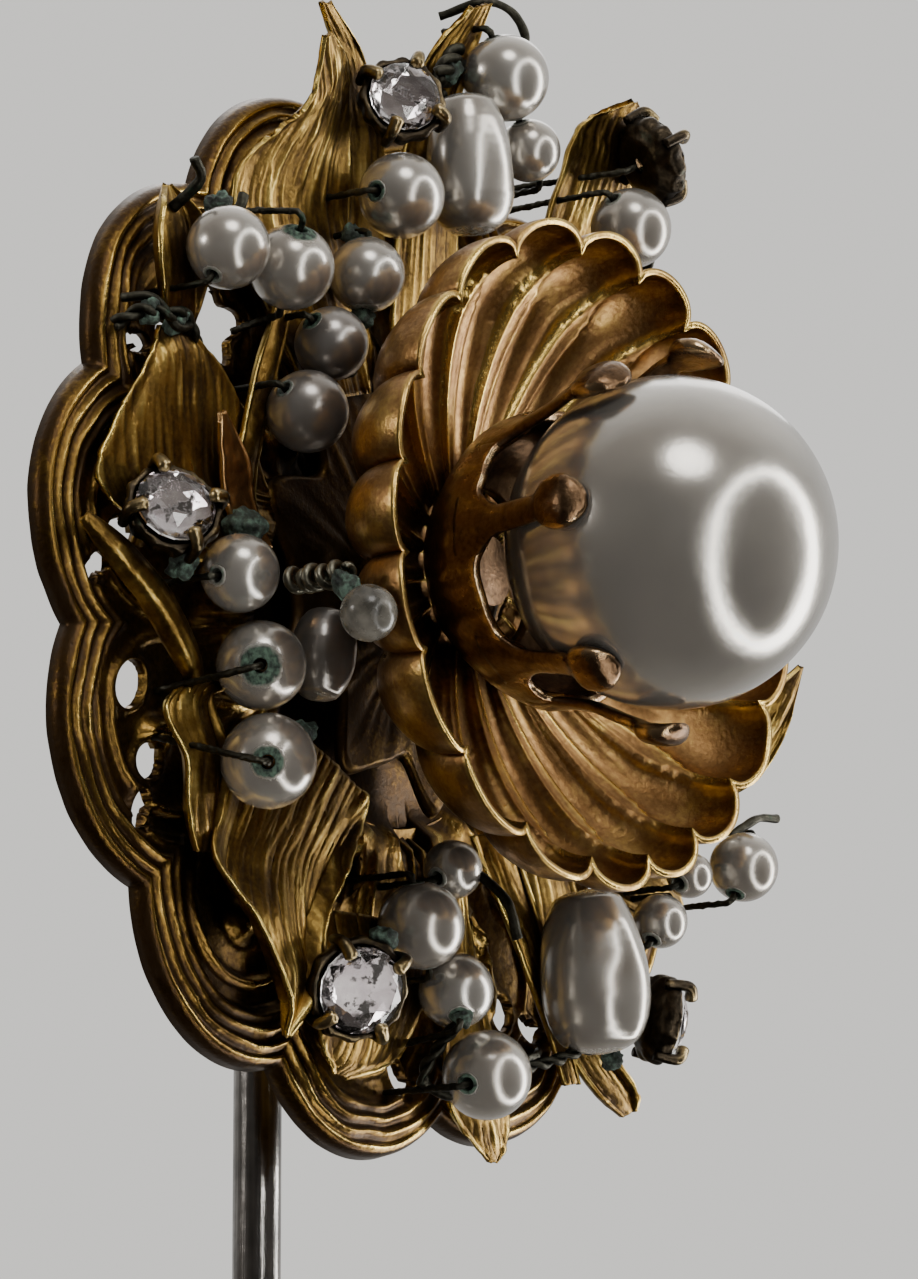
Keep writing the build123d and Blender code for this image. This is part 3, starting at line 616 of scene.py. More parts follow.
def leaf_disc():
    """Middle of the leaf stamping, with the boss that carries the cup."""
    profile = np.array([(2.6, 2.98), (2.6, 0.9), (3.2, 0.82)] + [(r, 0.78) for r in np.linspace(3.6, 7.2, 40)]
                       + [(7.4, 0.62), (7.45, 0.42)])
    points = spun(profile, DISC_SIDES) + CENTRE * (1, 1, 0)
    turn = np.arctan2(points[..., 1], points[..., 0])
    from_hub = np.hypot(points[..., 0], points[..., 1])
    grain = np.stack([np.cos(turn) * 22, np.sin(turn) * 22, from_hub / 2.4], -1)
    ridge = np.clip(0.5 + 0.5 * noise(grain, 1.0, 42), 0, 1)
    petals = 0.13 * np.cos(9 * turn) + 0.05 * np.cos(14 * turn)
    petals = 1 + step(4.0, 7.4, profile[:, 0])[:, None] * petals
    points[..., :2] = CENTRE[:2] + (points[..., :2] - CENTRE[:2]) * petals[..., None]
    points[3:-2, :, 2] += 0.10 * ridge[3:-2] + 0.10 * noise(points[3:-2], 1.3, 41)
    faces = grid(len(profile), DISC_SIDES, wrap_columns=True)[:, ::-1]
    # Bright on the grain's ridges where rubbed; the whole disc is darkened as painted shade, for lying under
    # the cup.
    made = piece("leaf_disc", (points, faces), LEAF, "leaf_brass", replaces=("leaf_layer",),
                 wear=0.4 * ridge**3 - 0.35)
    return thicken(made, DISC_SHEET)


# ---------------------------------------------------------------- cup, claws and big pearl
FLUTES = 19
FLUTE_START = radians(1.0)
RIB = 0.13                   # half width of the raised rib between two flutes, as a share of a flute
CUP_SHEET = 0.24
CUP_ROWS, FLUTE_COLUMNS = 80, 32


def fluted_cup():
    """Bowl of flutes between sharp ribs, with a worn scalloped edge."""
    rows, per_flute = CUP_ROWS, FLUTE_COLUMNS
    start = acos(2.4 / CUP_RADIUS)
    drop = np.linspace(start, 0, rows)[:, None]
    column = np.arange(FLUTES * per_flute)[None, :]
    phase = column % per_flute / per_flute
    arc = np.sqrt(np.clip(1 - (2 * phase - 1)**2, 0, 1))
    rim_radius, depth = CUP_RADIUS - 0.35, CUP_DEPTH - 0.45
    drop = drop - 0.045 * arc * (1 - drop / start)**3
    radius, height = rim_radius * np.cos(drop), CUP_RIM - 0.1 - depth * np.sin(drop)
    # Each flute is a hollow between two raised ribs that widen towards the bowl's middle.
    share = np.clip((radius - 3.2) / (rim_radius - 3.2), 0, 1)
    rib = RIB * step(1.0, 0.75, share)
    to_cusp = np.minimum(phase, 1 - phase)
    trough = np.clip((to_cusp - rib) / (0.5 - rib), 0, 1)
    hollow = np.where(to_cusp < rib, 0.10 * (1 - (to_cusp / np.maximum(rib, 1e-6))**2),
                      np.sqrt(1 - (1 - trough)**2))
    hollow = hollow + (arc - hollow) * step(0.82, 1.0, share)
    outward = unit(np.stack([depth * np.cos(drop), -rim_radius * np.sin(drop)], -1))
    bulge = (0.12 + 0.85 * share**1.1) * (hollow - 0.62)
    radius, height = radius + bulge * outward[..., 0], height + bulge * outward[..., 1]
    angle = FLUTE_START + (column + 0 * radius) / per_flute * (tau / FLUTES)
    angle = angle + 0.05 * np.sin(3 * angle) * share
    points = np.stack([radius * np.cos(angle), radius * np.sin(angle), height], -1)
    points[..., 2] += share**2 * (0.16 * noise(points, 5.0, 11) + 0.05 * noise(points, 1.2, 12))
    points[..., :2] *= 1 + 0.006 * noise(points, 4.0, 13)[..., None]
    points += CENTRE
    per_mm = tau * radius / FLUTES
    to_edge = np.abs(to_cusp - rib) * per_mm
    # Painted highlight: a bright glint along each rib's edge, strong on one side of the rib and in sparse
    # sparks on the other. The darkening towards the bowl's middle is painted shade; as written it comes to
    # zero, since the rib is full width there.
    glint = 0.90 + 0.35 * noise(points, 0.8, 14)
    glint = np.where(phase < 0.5, glint, 0.35 * step(0.0, 0.6, noise(points, 0.35, 15)))
    wear = np.exp(-(to_edge / 0.10)**2) * glint - 0.25 * step(0.45, 0.0, share) * (1 - rib / RIB)
    rim_wear = step(0.975, 0.992, np.linspace(0, 1, rows))[:, None]
    rim_wear = rim_wear * (1.05 + 0.4 * noise(points, 0.9, 16)) - 0.6
    wear = np.clip(np.maximum(wear, rim_wear + 0 * wear), -0.3, 1)
    faces = grid(rows, FLUTES * per_flute, wrap_columns=True)
    made = piece("fluted_cup_bowl", (points, faces), CUP, "cup_bronze", replaces=("swirl_cup",), wear=wear)
    return thicken(made, CUP_SHEET, 0.0)


# Claws: direction from the middle, height of the round end, how far it stands off the pearl.
CLAWS = ((22, 12.5, 0.0), (78, 12.6, 1.0), (128, 12.3, 0.3), (176, 12.1, 0.0), (233, 11.7, 0.0),
         (272, 11.8, 0.5), (330, 12.5, 0.0))
BASKET_RADIUS, BASKET_FOOT, BASKET_TOP = 5.4, 3.78, 7.85


def claw(angle, end, stand_off, seed):
    """One claw of the setting: an arm up from the basket, with a thick round end on the pearl."""
    angle = radians(angle)
    ring, low = 20, BASKET_TOP - 1.0
    up = np.concatenate([np.linspace(low, end - 1.2, 24), end + 1.05 * np.sin(np.linspace(-1.15, 1.57, 22))])
    rows = len(up)
    from_end = np.abs(up - end) / 1.08
    paddle = np.sqrt(np.clip(1 - from_end**2, 0, 1))
    arm = 0.50 + 0.85 * step(low + 2.4, low + 0.6, up)**2
    half = np.maximum(np.where(up > end, paddle, np.maximum(paddle, arm)), 0.03)
    pearl_wall = np.sqrt(np.clip(PEARL_RADIUS**2 - (up - pearl_centre[2])**2, 0, None))
    inside = np.interp(up, [low, low + 1.2, 9.8, 11.2, 12.5, 13.7], [5.0, 5.1, 5.55, 5.98, 6.04, 5.98])
    inside = np.maximum(inside, pearl_wall + 0.04) + stand_off * step(8.5, 12.5, up)
    thick = 0.46 + 0.34 * step(1.3, 0.4, np.abs(up - end))
    thick = thick * np.where(up > end, np.sqrt(np.clip(1 - (from_end * 0.93)**2, 0.04, 1)), 1)
    turn = circle(ring)
    square = (np.abs(np.cos(turn))**3 + np.abs(np.sin(turn))**3)**(-1 / 3)
    side = half[:, None] * np.cos(turn) * square
    out = inside[:, None] + thick[:, None] * (0.5 + 0.5 * np.sin(turn) * square**0.6)
    out = out - side**2 / (2 * (inside[:, None] + 0.5)) * 0.9
    points = np.stack([*rotated(out, side, angle), np.repeat(up[:, None], ring, 1)], -1)
    points += CENTRE + 0.05 * noise(points, 1.1, seed)[..., None]
    wear = 0.95 * step(0.75, 1.0, np.abs(side) / np.maximum(half[:, None], 0.05))
    wear = wear * step(2.0, 0.6, np.abs(up - end))[:, None]
    wear = np.clip(0.75 * wear * (0.7 + 0.6 * noise(points, 0.5, seed + 1)), 0, 1)
    return points.reshape(-1, 3), capped(rows, ring), wear.ravel()


def prong_setting():
    """Basket on the cup's floor, its edge arched between the claws, and the claws themselves."""
    profile = [(3.1, BASKET_FOOT), (3.9, 4.5), (4.6, 5.35), (5.15, 6.1), (BASKET_RADIUS, 6.8),
               (BASKET_RADIUS + 0.08, BASKET_TOP - 0.2), (BASKET_RADIUS, BASKET_TOP),
               (BASKET_RADIUS - 0.2, BASKET_TOP + 0.03), (BASKET_RADIUS - 0.36, BASKET_TOP - 0.15),
               (BASKET_RADIUS - 0.42, 6.9), (4.75, 6.15), (4.2, 5.5), (3.6, 4.8), (3.0, 4.3)]
    rows, sides = 72, 280
    points = spun(curve(np.asarray(profile), rows), sides)
    turn = circle(sides)
    gap = np.min([np.abs((turn - radians(c[0]) + pi) % (tau) - pi) for c in CLAWS], axis=0) / (pi / 7)
    lift = 0.75 * step(0.62, 0.05, gap) - 0.12
    tall = step(6.2, BASKET_TOP, points[..., 2])
    points[..., 2] += tall * lift
    points += CENTRE + 0.05 * noise(points, 0.9, 48)[..., None]
    bead = step(BASKET_TOP - 0.35, BASKET_TOP - 0.05, points[..., 2] - tall * lift)
    parts = [(points, grid(rows, sides, True, True)[:, ::-1])]
    wear = [np.clip(0.7 * bead * (0.6 + 0.6 * noise(points, 0.5, 49)), 0, 1).ravel()]
    for index, facts in enumerate(CLAWS):
        some, faces, worn = claw(*facts, 50 + 2 * index)
        parts.append((some, faces))
        wear.append(worn)
    return piece("prong_setting_basket", joined(parts), CLAW, "setting_brass", replaces=("prong_setting",),
                 wear=np.concatenate(wear))


def ball(radius, rows, sides):
    """Closed round shape about its own centre: an array of points with poles left slightly open."""
    up = np.linspace(0.5, rows - 0.5, rows) / rows * pi
    return spun(np.stack([radius * np.sin(up), radius * np.cos(up)], -1), sides)


def centre_pearl():
    """The big pearl, very slightly out of round."""
    rows, sides = 96, 160
    points = ball(PEARL_RADIUS, rows, sides)
    lumps = 0.006 * noise(points, 5.0, 60) + 0.002 * noise(points, 1.8, 61)
    points = pearl_centre + points * (0.998 + lumps)[..., None]
    return piece("centre_pearl_ball", (points, capped(rows, sides, True)), BIG_PEARL, "big_pearl",
                 replaces=("centre_pearl",), crust=np.zeros(points.shape[:2]))


# ---------------------------------------------------------------- seed pearls
HOLE = 0.26                  # radius of a drilled hole's mouth, mm
SEED_SIDES = 56
# The two seed pearls that take the darker pearl material as painted shade.
PAINTED_SHADE_PEARLS = ("upper_left_pearl_4", "upper_left_pearl_5")
CRUSTED = {"left_pearl_2": 0.75, "left_pearl_3": 0.5, "upper_left_pearl_2": 0.6, "upper_left_pearl_3": 0.4}
bodies = {node: body for body, members in frame["record"]["behaviour"]["bodies"].items() for node in members}
PEARLS = sorted(name for name in nodes if "_pearl_" in name and name[-1].isdigit())


def drill_direction(name, centre):
    """Direction of a drilled pearl's hole, from the faces of its bore."""
    mesh, middle = nodes[name].data, Vector(to_row(centre))
    inner = [v for face in mesh.polygons if face.normal.dot((face.center - middle).normalized()) < 0.5
             for v in face.vertices]
    return np.linalg.svd(node_points(name)[inner] - centre)[2][0]


def seed_pearl(name, seed):
    """Drilled pearl, stained round the mouth of its hole."""
    centre, radius = node_ball(name)
    direction = drill_direction(name, centre)
    if direction[2] < 0:
        direction = -direction
    lip = asin(HOLE / radius)
    up = np.concatenate([np.linspace(lip, lip + 0.35, 8), np.linspace(lip + 0.42, pi - lip - 0.42, 34),
                         np.linspace(pi - lip - 0.35, pi - lip, 8)])
    outside = np.stack([radius * np.sin(up), radius * np.cos(up)], -1)
    end = radius * cos(lip)
    bore = np.stack([np.full(9, HOLE), np.linspace(-end + 0.1, end - 0.1, 9)], -1)
    profile = np.vstack([outside, bore])
    points = spun(profile, SEED_SIDES)
    crust = CRUSTED.get(name, 0.22)
    from_hole = np.hypot(points[..., 0], points[..., 1])
    stained = np.where(points[..., 2] > 0, 1, 0.6) * step(HOLE + crust, HOLE + 0.3 * crust, from_hole)
    lumps = 0.008 * noise(points, 1.4, seed) + 0.003 * noise(points, 0.6, seed + 1)
    lumps = lumps + stained * (0.030 * noise(points, 0.16, seed + 2) - 0.004)
    solid_part = np.arange(len(profile))[:, None] < len(outside)
    points = points * np.where(solid_part & (from_hole > HOLE * 1.05), 0.995 + lumps, 1.0)[..., None]
    material, slot = (PAINTED_SHADE_NACRE, "dark_pearl") if name in PAINTED_SHADE_PEARLS else (SEED, "seed_pearl")
    faces = grid(len(profile), SEED_SIDES, True, True)[:, ::-1]
    return piece(name + "_bead", (turned(points, centre, direction), faces), material, slot,
                 body=bodies[name], replaces=(name,), crust=stained)


# Baroque pearls: lengthwise direction, lumps along their length, tint.
BAROQUES = {
    "top_drop_pearl": (radians(95), 0.5, SEED, "seed_pearl"),
    # This one takes the darker pearl material, painted shade.
    "left_dark_pearl": (radians(80), 0.3, PAINTED_SHADE_NACRE, "dark_pearl"),
    "lower_right_baroque_pearl": (radians(98), 0.6, SEED, "seed_pearl"),
}


def baroque_pearl(name, turn, lumpy, material, slot, seed):
    """Long pearl with shallow furrows along it, kept inside its CAD shape."""
    shape = node_points(name)
    low, high = shape.min(0), shape.max(0)
    centre = (low + high) / 2
    axis = np.array([cos(turn), sin(turn), 0.0])
    along = (shape - centre) @ axis
    from_axis = np.linalg.norm(shape - centre - along[:, None] * axis, axis=1)
    stations = np.linspace(along.min(), along.max(), 60)
    bins = np.linspace(along.min(), along.max(), 16)
    widest = [from_axis[np.abs(along - b) < (bins[1] - bins[0])].max() for b in bins]
    profile_radius = np.interp(stations, bins, widest)
    share = (stations - stations[0]) / (stations[-1] - stations[0]) * 2 - 1
    rounded = profile_radius.max() * 1.02 * np.sqrt(np.clip(1 - share**4, 0, 1))
    profile_radius = np.minimum(profile_radius, rounded)
    points = spun(np.stack([np.maximum(profile_radius, 0.03), stations], -1), 96)
    turn_angle = np.arctan2(points[..., 1], points[..., 0])
    furrow = 0.035 * np.cos(3 * turn_angle + 0.4 * points[..., 2] + seed)
    furrow = furrow + 0.02 * np.cos(5 * turn_angle + seed)
    lumps = lumpy * (furrow + 0.05 * noise(points, 1.1, seed)) - 0.02
    points[..., :2] *= (1 + lumps)[..., None]
    return piece(name + "_nacre", (turned(points, centre, axis), capped(60, 96, True)), material, slot,
                 replaces=(name,), crust=0.35 * (np.abs(share) > 0.93)[:, None] + np.zeros(points.shape[:2]))


# ---------------------------------------------------------------- rhinestones
# The direction each stone looks, in the face frame.
STONES = {
    "top_left_stone": (-0.6, 0.15, 0.8), "top_right_stone": (0.75, 0.45, 0.3),
    "left_stone": (-0.5, 0.35, 0.8), "lower_left_stone": (-0.45, -0.3, 0.85),
    "lower_right_stone": (0.8, -0.1, 0.5), "right_stone": (0.45, 0.1, 0.85),
}


STONE_DEPTH = 0.75           # from the point of a stone's back to its girdle, mm


def glass_material():
    """Clear glass, a little scratched."""
    material, tree, shader = new_material("rhinestone_glass")
    shader.inputs["Base Color"].default_value = colour((0.98, 0.97, 0.97))
    shader.inputs["Transmission Weight"].default_value = 1.0
    shader.inputs["IOR"].default_value = 1.56
    link(tree, shader, Roughness=spread(tree, spots(tree, 2.0, 4), 0.4, 0.8, 0.0, 0.10))
    link(tree, shader, Normal=bumped(tree, spots(tree, 4.0, 4), 0.004, 0.4))
    return material


def smoky_material():
    """Dull grey-brown glass of the small bead."""
    material, tree, shader = new_material("smoky_glass")
    tint = ramp(tree, spots(tree, 1.2, 4), (0.35, (0.07, 0.066, 0.055)), (0.65, (0.24, 0.225, 0.19)))
    link(tree, shader, Base_Color=tint, Roughness=spread(tree, spots(tree, 2.0, 4), 0.3, 0.7, 0.12, 0.4))
    shader.inputs["Transmission Weight"].default_value = 0.35
    return material


def foil_material():
    """Silver foil behind a stone, flaked to black in places."""
    material, tree, shader = new_material("rhinestone_foil")
    flakes = spread(tree, spots(tree, 1.5, 6, 0.65), 0.53, 0.58, 0.0, 1.0)
    silver = ramp(tree, spots(tree, 0.8, 3), (0.3, (0.50, 0.44, 0.47)), (0.7, (0.86, 0.84, 0.84)))
    link(tree, shader, Base_Color=mixed(tree, flakes, silver, colour((0.03, 0.025, 0.02))))
    link(tree, shader, Metallic=spread(tree, flakes, 0.0, 1.0, 1.0, 0.2))
    link(tree, shader, Roughness=spread(tree, flakes, 0.0, 1.0, 0.06, 0.6))
    return material


GLASS, FOIL, SMOKY = glass_material(), foil_material(), smoky_material()


def faceted(rings):
    """Closed cut shape from rings of (radius, height, count, half steps turned)."""
    made = bmesh.new()
    for radius, height, count, offset in rings:
        for k in range(count):
            angle = (k + offset) * tau / count
            made.verts.new((radius * cos(angle), radius * sin(angle), height))
    bmesh.ops.convex_hull(made, input=made.verts)
    bmesh.ops.dissolve_limit(made, angle_limit=radians(1), verts=made.verts, edges=made.edges)
    made.verts.ensure_lookup_table()
    made.verts.index_update()
    points = np.array([v.co[:] for v in made.verts])
    faces = [[v.index for v in face.verts] for face in made.faces]
    made.free()
    return points, faces


def rhinestone(name, direction, seed):
    """Round brilliant of glass over a foiled back, in a clawed setting."""
    axis = unit(direction)
    shape = node_points(name)
    tip = shape[np.argmin(shape @ axis)]
    girdle = tip + STONE_DEPTH * axis
    off = shape - girdle
    radius = np.linalg.norm(off - (off @ axis)[:, None] * axis, axis=1).max() * 0.99
    crown = [(radius, 0.0, 16, 0.0), (radius, 0.10, 16, 0.0), (radius * 0.80, 0.36, 8, 0.5),
             (radius * 0.50, 0.54, 8, 0.0)]
    back = [(radius * 0.985, -0.03, 16, 0.5), (radius * 0.985, -0.01, 16, 0.5),
            (radius * 0.45, -0.42, 8, 0.5), (0.02, -0.72, 8, 0.0)]
    spin = 0.35 * seed
    for part, rings, material in (("_crown", crown, GLASS), ("_back", back, FOIL)):
        points, faces = faceted(rings)
        rolled = np.stack([*rotated(points[:, 0], points[:, 1], spin), points[:, 2]], -1)
        piece(name + part, (turned(rolled, girdle, axis), faces), material, "rhinestone", smooth=False,
              replaces=(name,))

    outer = radius + 0.28
    wall = [(0.3, -1.12), (0.7 * radius, -1.1), (0.9 * radius, -0.95), (outer - 0.12, -0.75), (outer, -0.5),
            (outer + 0.02, -0.25), (outer - 0.05, -0.10), (radius + 0.06, -0.08), (radius + 0.04, -0.2),
            (0.8 * radius, -0.55), (0.4, -0.85)]
    profile = curve(np.asarray(wall), 44)
    cup = spun(profile, 80)
    turn = np.arctan2(cup[..., 1], cup[..., 0])
    fluted = (cup[..., 2] < -0.1) * (cup[..., 2] > -0.9)
    cup[..., :2] *= (1 + 0.035 * np.cos(turn * 12) * fluted)[..., None]
    cup += 0.05 * noise(cup, 0.45, seed)[..., None] * (1, 1, 0.6)
    parts, wear = [(cup, grid(44, 80, wrap_columns=True)[:, ::-1])], [0.2 * (cup[..., 2] > -0.2).ravel()]
    for k in range(4):
        at = pi / 4 + k * pi / 2 + spin + 0.12 * sin(seed + 3 * k)
        line = curve([(outer + 0.05, -0.75), (outer + 0.12, -0.1), (outer + 0.02, 0.28),
                      (radius * 0.84, 0.50)], 18)
        path = np.stack([line[:, 0] * cos(at), line[:, 0] * sin(at), line[:, 1]], -1)
        thick = 0.20 + 0.07 * np.linspace(0, 1, 18)**2
        thick[-1] *= 0.5
        some, faces = tube(path, thick, 12)
        parts.append((some, faces))
        wear.append(np.repeat(np.linspace(0, 0.9, 18)**2, 12))
    points, faces = joined(parts)
    return piece(name + "_claws", (turned(points, girdle, axis), faces), TARNISH, "stone_setting_metal",
                 replaces=(name + "_setting",), wear=np.concatenate(wear))


# ---------------------------------------------------------------- wires
def crusty(name):
    """A CAD wire group, remeshed so that it can be lumpy and corroded."""
    wire = nodes[name]
    wire.data.materials.clear()
    wire.data.materials.append(WIRE)
    remesh = wire.modifiers.new("remesh", "REMESH")
    remesh.mode, remesh.voxel_size, remesh.use_smooth_shade = "VOXEL", 0.055 * MM, True
    lumps = bpy.data.textures.new(name + "_lumps", "CLOUDS")
    lumps.noise_scale = 0.25 * MM
    shaken = wire.modifiers.new("corrosion", "DISPLACE")
    shaken.texture, shaken.strength, shaken.mid_level = lumps, 0.12 * MM, 1.05


# Loose wires: radius, how many strands are twisted together, route in the face frame.
LOOSE_WIRES = {
    "wire_rim_wrap": (0.15, 2,
        "-17 7.9 0.5, -16.4 8.4 1.3, -15.5 8.3 1.7, -14.6 8.6 1.6, -13.6 8.2 1.2, -12.9 7.9 0.8"),
    "wire_rim_wrap_b": (0.17, 1, "-16.6 8.9 0.5, -15.9 8.9 1.4, -15 8.1 1.6, -14.1 8.3 1.5, -13.4 8.9 0.9"),
    "wire_top_loop": (0.17, 1, "1.2 23.4 1, 2 23.9 2.4, 3 23.7 3, 3.8 22.9 3.1, 3.4 22.2 3"),
    "wire_top_knot": (0.2, 2,
        "-0.6 20.4 2.3, 0.2 21.2 2.3, 0.9 21.9 2, 1.2 21.2 1.8, 0.4 20.6 1.9, -0.2 19.9 2"),
    "wire_upper_left_a": (0.2, 1, "-14.3 12.6 0.9, -14.2 13.5 2, -14.7 14.1 2.2"),
    "wire_upper_left_b": (0.2, 1, "-12.6 12 1.2, -12.1 12.8 2.1, -11.9 13.4 2.2"),
    "wire_straight_end": (0.19, 1, "0.9 -8.3 1.4, 1.2 -9.3 2.6, 1.5 -10.5 3.8, 1.8 -11.9 4.1"),
    "wire_low_twist": (0.13, 2, "0.2 -14.6 3, -0.2 -15.6 2.4, -0.4 -16.6 1.6, -0.3 -17.2 1.4"),
    "wire_low_foot": (0.18, 1, "-0.4 -17.1 1.3, 0.4 -17.6 1.9, 1.2 -17.4 2.4"),
    "wire_low_right": (0.13, 2, "3.6 -16.3 2.4, 4.8 -16.2 2.2, 6.2 -15.8 2.5, 8 -15.2 3, 9.6 -14.8 3.2"),
    "wire_right_end": (0.17, 1, "16.4 -6.2 3.6, 17.8 -5.4 3.9, 19 -5.2 4"),
}


def loose_wire(name, route, radius, strands, seed):
    """One stiff wire end, or two strands twisted together, slightly kinked and corroded."""
    route = listed(route)
    path = curve(route, 16 * len(route))
    path += 0.04 * noise(path, 0.9, seed)[:, None] * (1, -1, 1)
    uneven = radius * (1 + 0.16 * noise(path, 0.35, seed + 1))
    if strands == 1:
        return piece(name, tube(path, uneven), WIRE, "wire")
    one, two = frames_along(path)
    run = np.concatenate([[0], np.cumsum(np.linalg.norm(np.diff(path, axis=0), axis=1))])
    parts = []
    for k in range(strands):
        twist = (run * tau / 1.5 + k * tau / strands)[:, None]
        parts.append(tube(path + radius * 0.95 * (one * np.cos(twist) + two * np.sin(twist)), uneven))
    return piece(name, joined(parts), WIRE, "wire")


def loose_coil():
    """Uneven loops of thin wire along the CAD coil's axis, inside its space."""
    shape = node_points("coil_wire")
    middle = shape.mean(0)
    axis = np.linalg.svd(shape - middle, full_matrices=False)[2][0]
    along = (shape - middle) @ axis
    reach = np.linalg.norm(shape - middle - along[:, None] * axis, axis=1).max() - 0.17
    share = np.linspace(0, 1, 260)
    wander = noise(np.stack([share * 9, 0 * share, 0 * share], -1), 1.0, 700)
    loop = 5.4 * tau * share + 0.5 * wander
    radius = reach * (0.82 + 0.16 * wander)
    height = along.min() + 0.16 + (np.ptp(along) - 0.32) * (share + 0.03 * np.sin(9 * share))
    path = turned(np.stack([radius * np.cos(loop), radius * np.sin(loop), height], -1), middle, axis)
    loops = tube(path, 0.15 * (1 + 0.15 * wander), 10)
    return piece("coil_wire_loops", loops, COIL, "wire", replaces=("coil_wire",))


# Lumps of verdigris: place in the face frame, radius.
CRUSTS = {
    "crust_strip_foot": ((-10.9, 1.6, 1.5), 0.75), "crust_rim_wrap": ((-16.0, 8.5, 1.3), 0.55),
    "crust_rim_wrap_b": ((-14.7, 8.3, 1.4), 0.5), "crust_top_knot": ((0.3, 20.9, 2.1), 0.6),
    "crust_left_stone": ((-14.9, -0.5, 2.0), 0.6), "crust_coil_tip": ((-13.3, -1.7, 7.9), 0.55),
    "crust_stone_top": ((-5.0, -12.6, 3.2), 0.55), "crust_low_pearl": ((0.0, -14.9, 3.0), 0.4),
    "crust_upper_left": ((-13.4, 12.7, 2.2), 0.5), "crust_top_pearl": ((-5.0, 13.4, 1.7), 0.45),
    "crust_under_cup": ((-7.6, -5.4, 1.5), 0.6), "crust_cup_side": ((-5.2, 10.3, 2.2), 0.5),
    "crust_low_right": ((9.9, -15.4, 2.6), 0.5), "crust_ring": ((3.3, 22.0, 2.9), 0.35),
}


def crust_material():
    """Crumbly green-black verdigris."""
    material, tree, shader = new_material("verdigris")
    grit = spots(tree, 2.6, 6, 0.65)
    tint = ramp(tree, grit, (0.36, (0.012, 0.016, 0.014)), (0.5, (0.045, 0.065, 0.05)),
                (0.66, (0.16, 0.26, 0.20)))
    link(tree, shader, Base_Color=tint)
    link(tree, shader, Roughness=spread(tree, grit, 0.3, 0.7, 0.45, 0.9))
    link(tree, shader, Normal=bumped(tree, spots(tree, 6.0, 6, 0.7), 0.12, 1.0))
    return material


VERDIGRIS = crust_material()


def crust(name, place, radius, seed, replaces=()):
    """A lump of verdigris, or of tangled wire grown over with it."""
    rows, sides = 36, 48
    points = ball(radius, rows, sides)
    lumps = 0.34 * noise(points, radius * 0.75, seed) + 0.16 * noise(points, radius * 0.3, seed + 1)
    points = np.asarray(place) + points * (0.85 + lumps)[..., None]
    return piece(name, (points, capped(rows, sides, True)), VERDIGRIS, "wire", replaces=replaces)


# ---------------------------------------------------------------- pin
PIN_SHANK = 14.0             # length of the thinner end in the socket, mm
PIN_SHANK_RADIUS = 0.54
PIN_POINT = 6.0              # length of the ground point
PIN_SIDES = 48


def pin_shaft():
    """Steel pin, very slightly uneven, with its ground point."""
    low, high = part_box("pin_shaft")
    radius = (high.x - low.x) / 2 / MM
    tip_z, top_z = (low.z - HEAD_Z) / MM, (high.z - HEAD_Z) / MM
    z = np.concatenate([np.linspace(tip_z, tip_z + PIN_POINT, 24),
                        np.linspace(tip_z + PIN_POINT + 1, top_z - PIN_SHANK, 130),
                        [top_z - PIN_SHANK + 0.05, top_z]])
    size = radius * np.clip(0.13 + 0.87 * ((z - tip_z) / PIN_POINT)**0.9, 0, 1)
    size[-2:] = PIN_SHANK_RADIUS
    points = spun(np.stack([size, z], -1), PIN_SIDES)
    points[..., :2] *= (1 - 0.010 * np.abs(noise(points * (1, 1, 0.2), 1.0, 90)))[..., None]
    axis_x, axis_y = (low.x + high.x) / 2, (low.y + high.y) / 2
    along = np.stack([(axis_x - HEAD_X) / MM + points[..., 0], points[..., 2],
                      (RIM_Y - axis_y) / MM + points[..., 1]], -1)
    wear = 0.25 + 0.5 * np.abs(noise(points * (1, 1, 0.05), 0.35, 91))
    return piece("pin_shaft_steel", (along, capped(len(z), PIN_SIDES, True)), STEEL, "pin_steel",
                 replaces=("pin_shaft",), wear=wear)


# ---------------------------------------------------------------- building
base_filigree()
leaf_disc()
for index, (name, (crown, grained, fold, left, right)) in enumerate(LEAVES.items()):
    leaf(name, left, right, crown, grained, fold, 100 + 7 * index)
fluted_cup()
prong_setting()
centre_pearl()
for index, name in enumerate(PEARLS):
    seed_pearl(name, 200 + 5 * index)
for index, (name, facts) in enumerate(BAROQUES.items()):
    baroque_pearl(name, *facts, 400 + index)
for index, (name, direction) in enumerate(STONES.items()):
    rhinestone(name, direction, index + 1)
for name in ("upper_left_wires", "top_wires", "left_wires", "lower_wires", "right_wires", "stone_posts"):
    crusty(name)
for index, (name, (radius, strands, route)) in enumerate(LOOSE_WIRES.items()):
    loose_wire(name, route, radius, strands, 500 + 3 * index)
for index, (name, (place, radius)) in enumerate(CRUSTS.items()):
    crust(name, place, radius, 600 + 3 * index, ("rim_wraps",) if name == "crust_rim_wrap" else ())
loose_coil()
pin_shaft()
for name, material in (("back_plate", GILT), ("socket_tube", GILT), ("centre_rivet", CLAW),
                       ("glass_bead", SMOKY)):
    nodes[name].data.materials.clear()
    nodes[name].data.materials.append(material)
    nodes[name].data.set_sharp_from_angle(angle=radians(40))

# ---------------------------------------------------------------- stage, light and camera
head_centre = Vector((HEAD_X, RIM_Y, HEAD_Z))
VIEW = Vector((0.7859, 0.5880, 0.1913)).normalized()      # the way the camera looks
VIEW_RIGHT = Vector((VIEW.y, -VIEW.x, 0)).normalized()
VIEW_UP = VIEW_RIGHT.cross(VIEW)


def plain(name, rgb, roughness=0.8):
    """Paper of a nearly even colour."""
    material, tree, shader = new_material(name)
    soft = ramp(tree, spots(tree, 0.01, 3), (0.3, [c * 0.96 for c in rgb]), (0.7, rgb))
    link(tree, shader, Base_Color=soft)
    shader.inputs["Roughness"].default_value = roughness
    return material


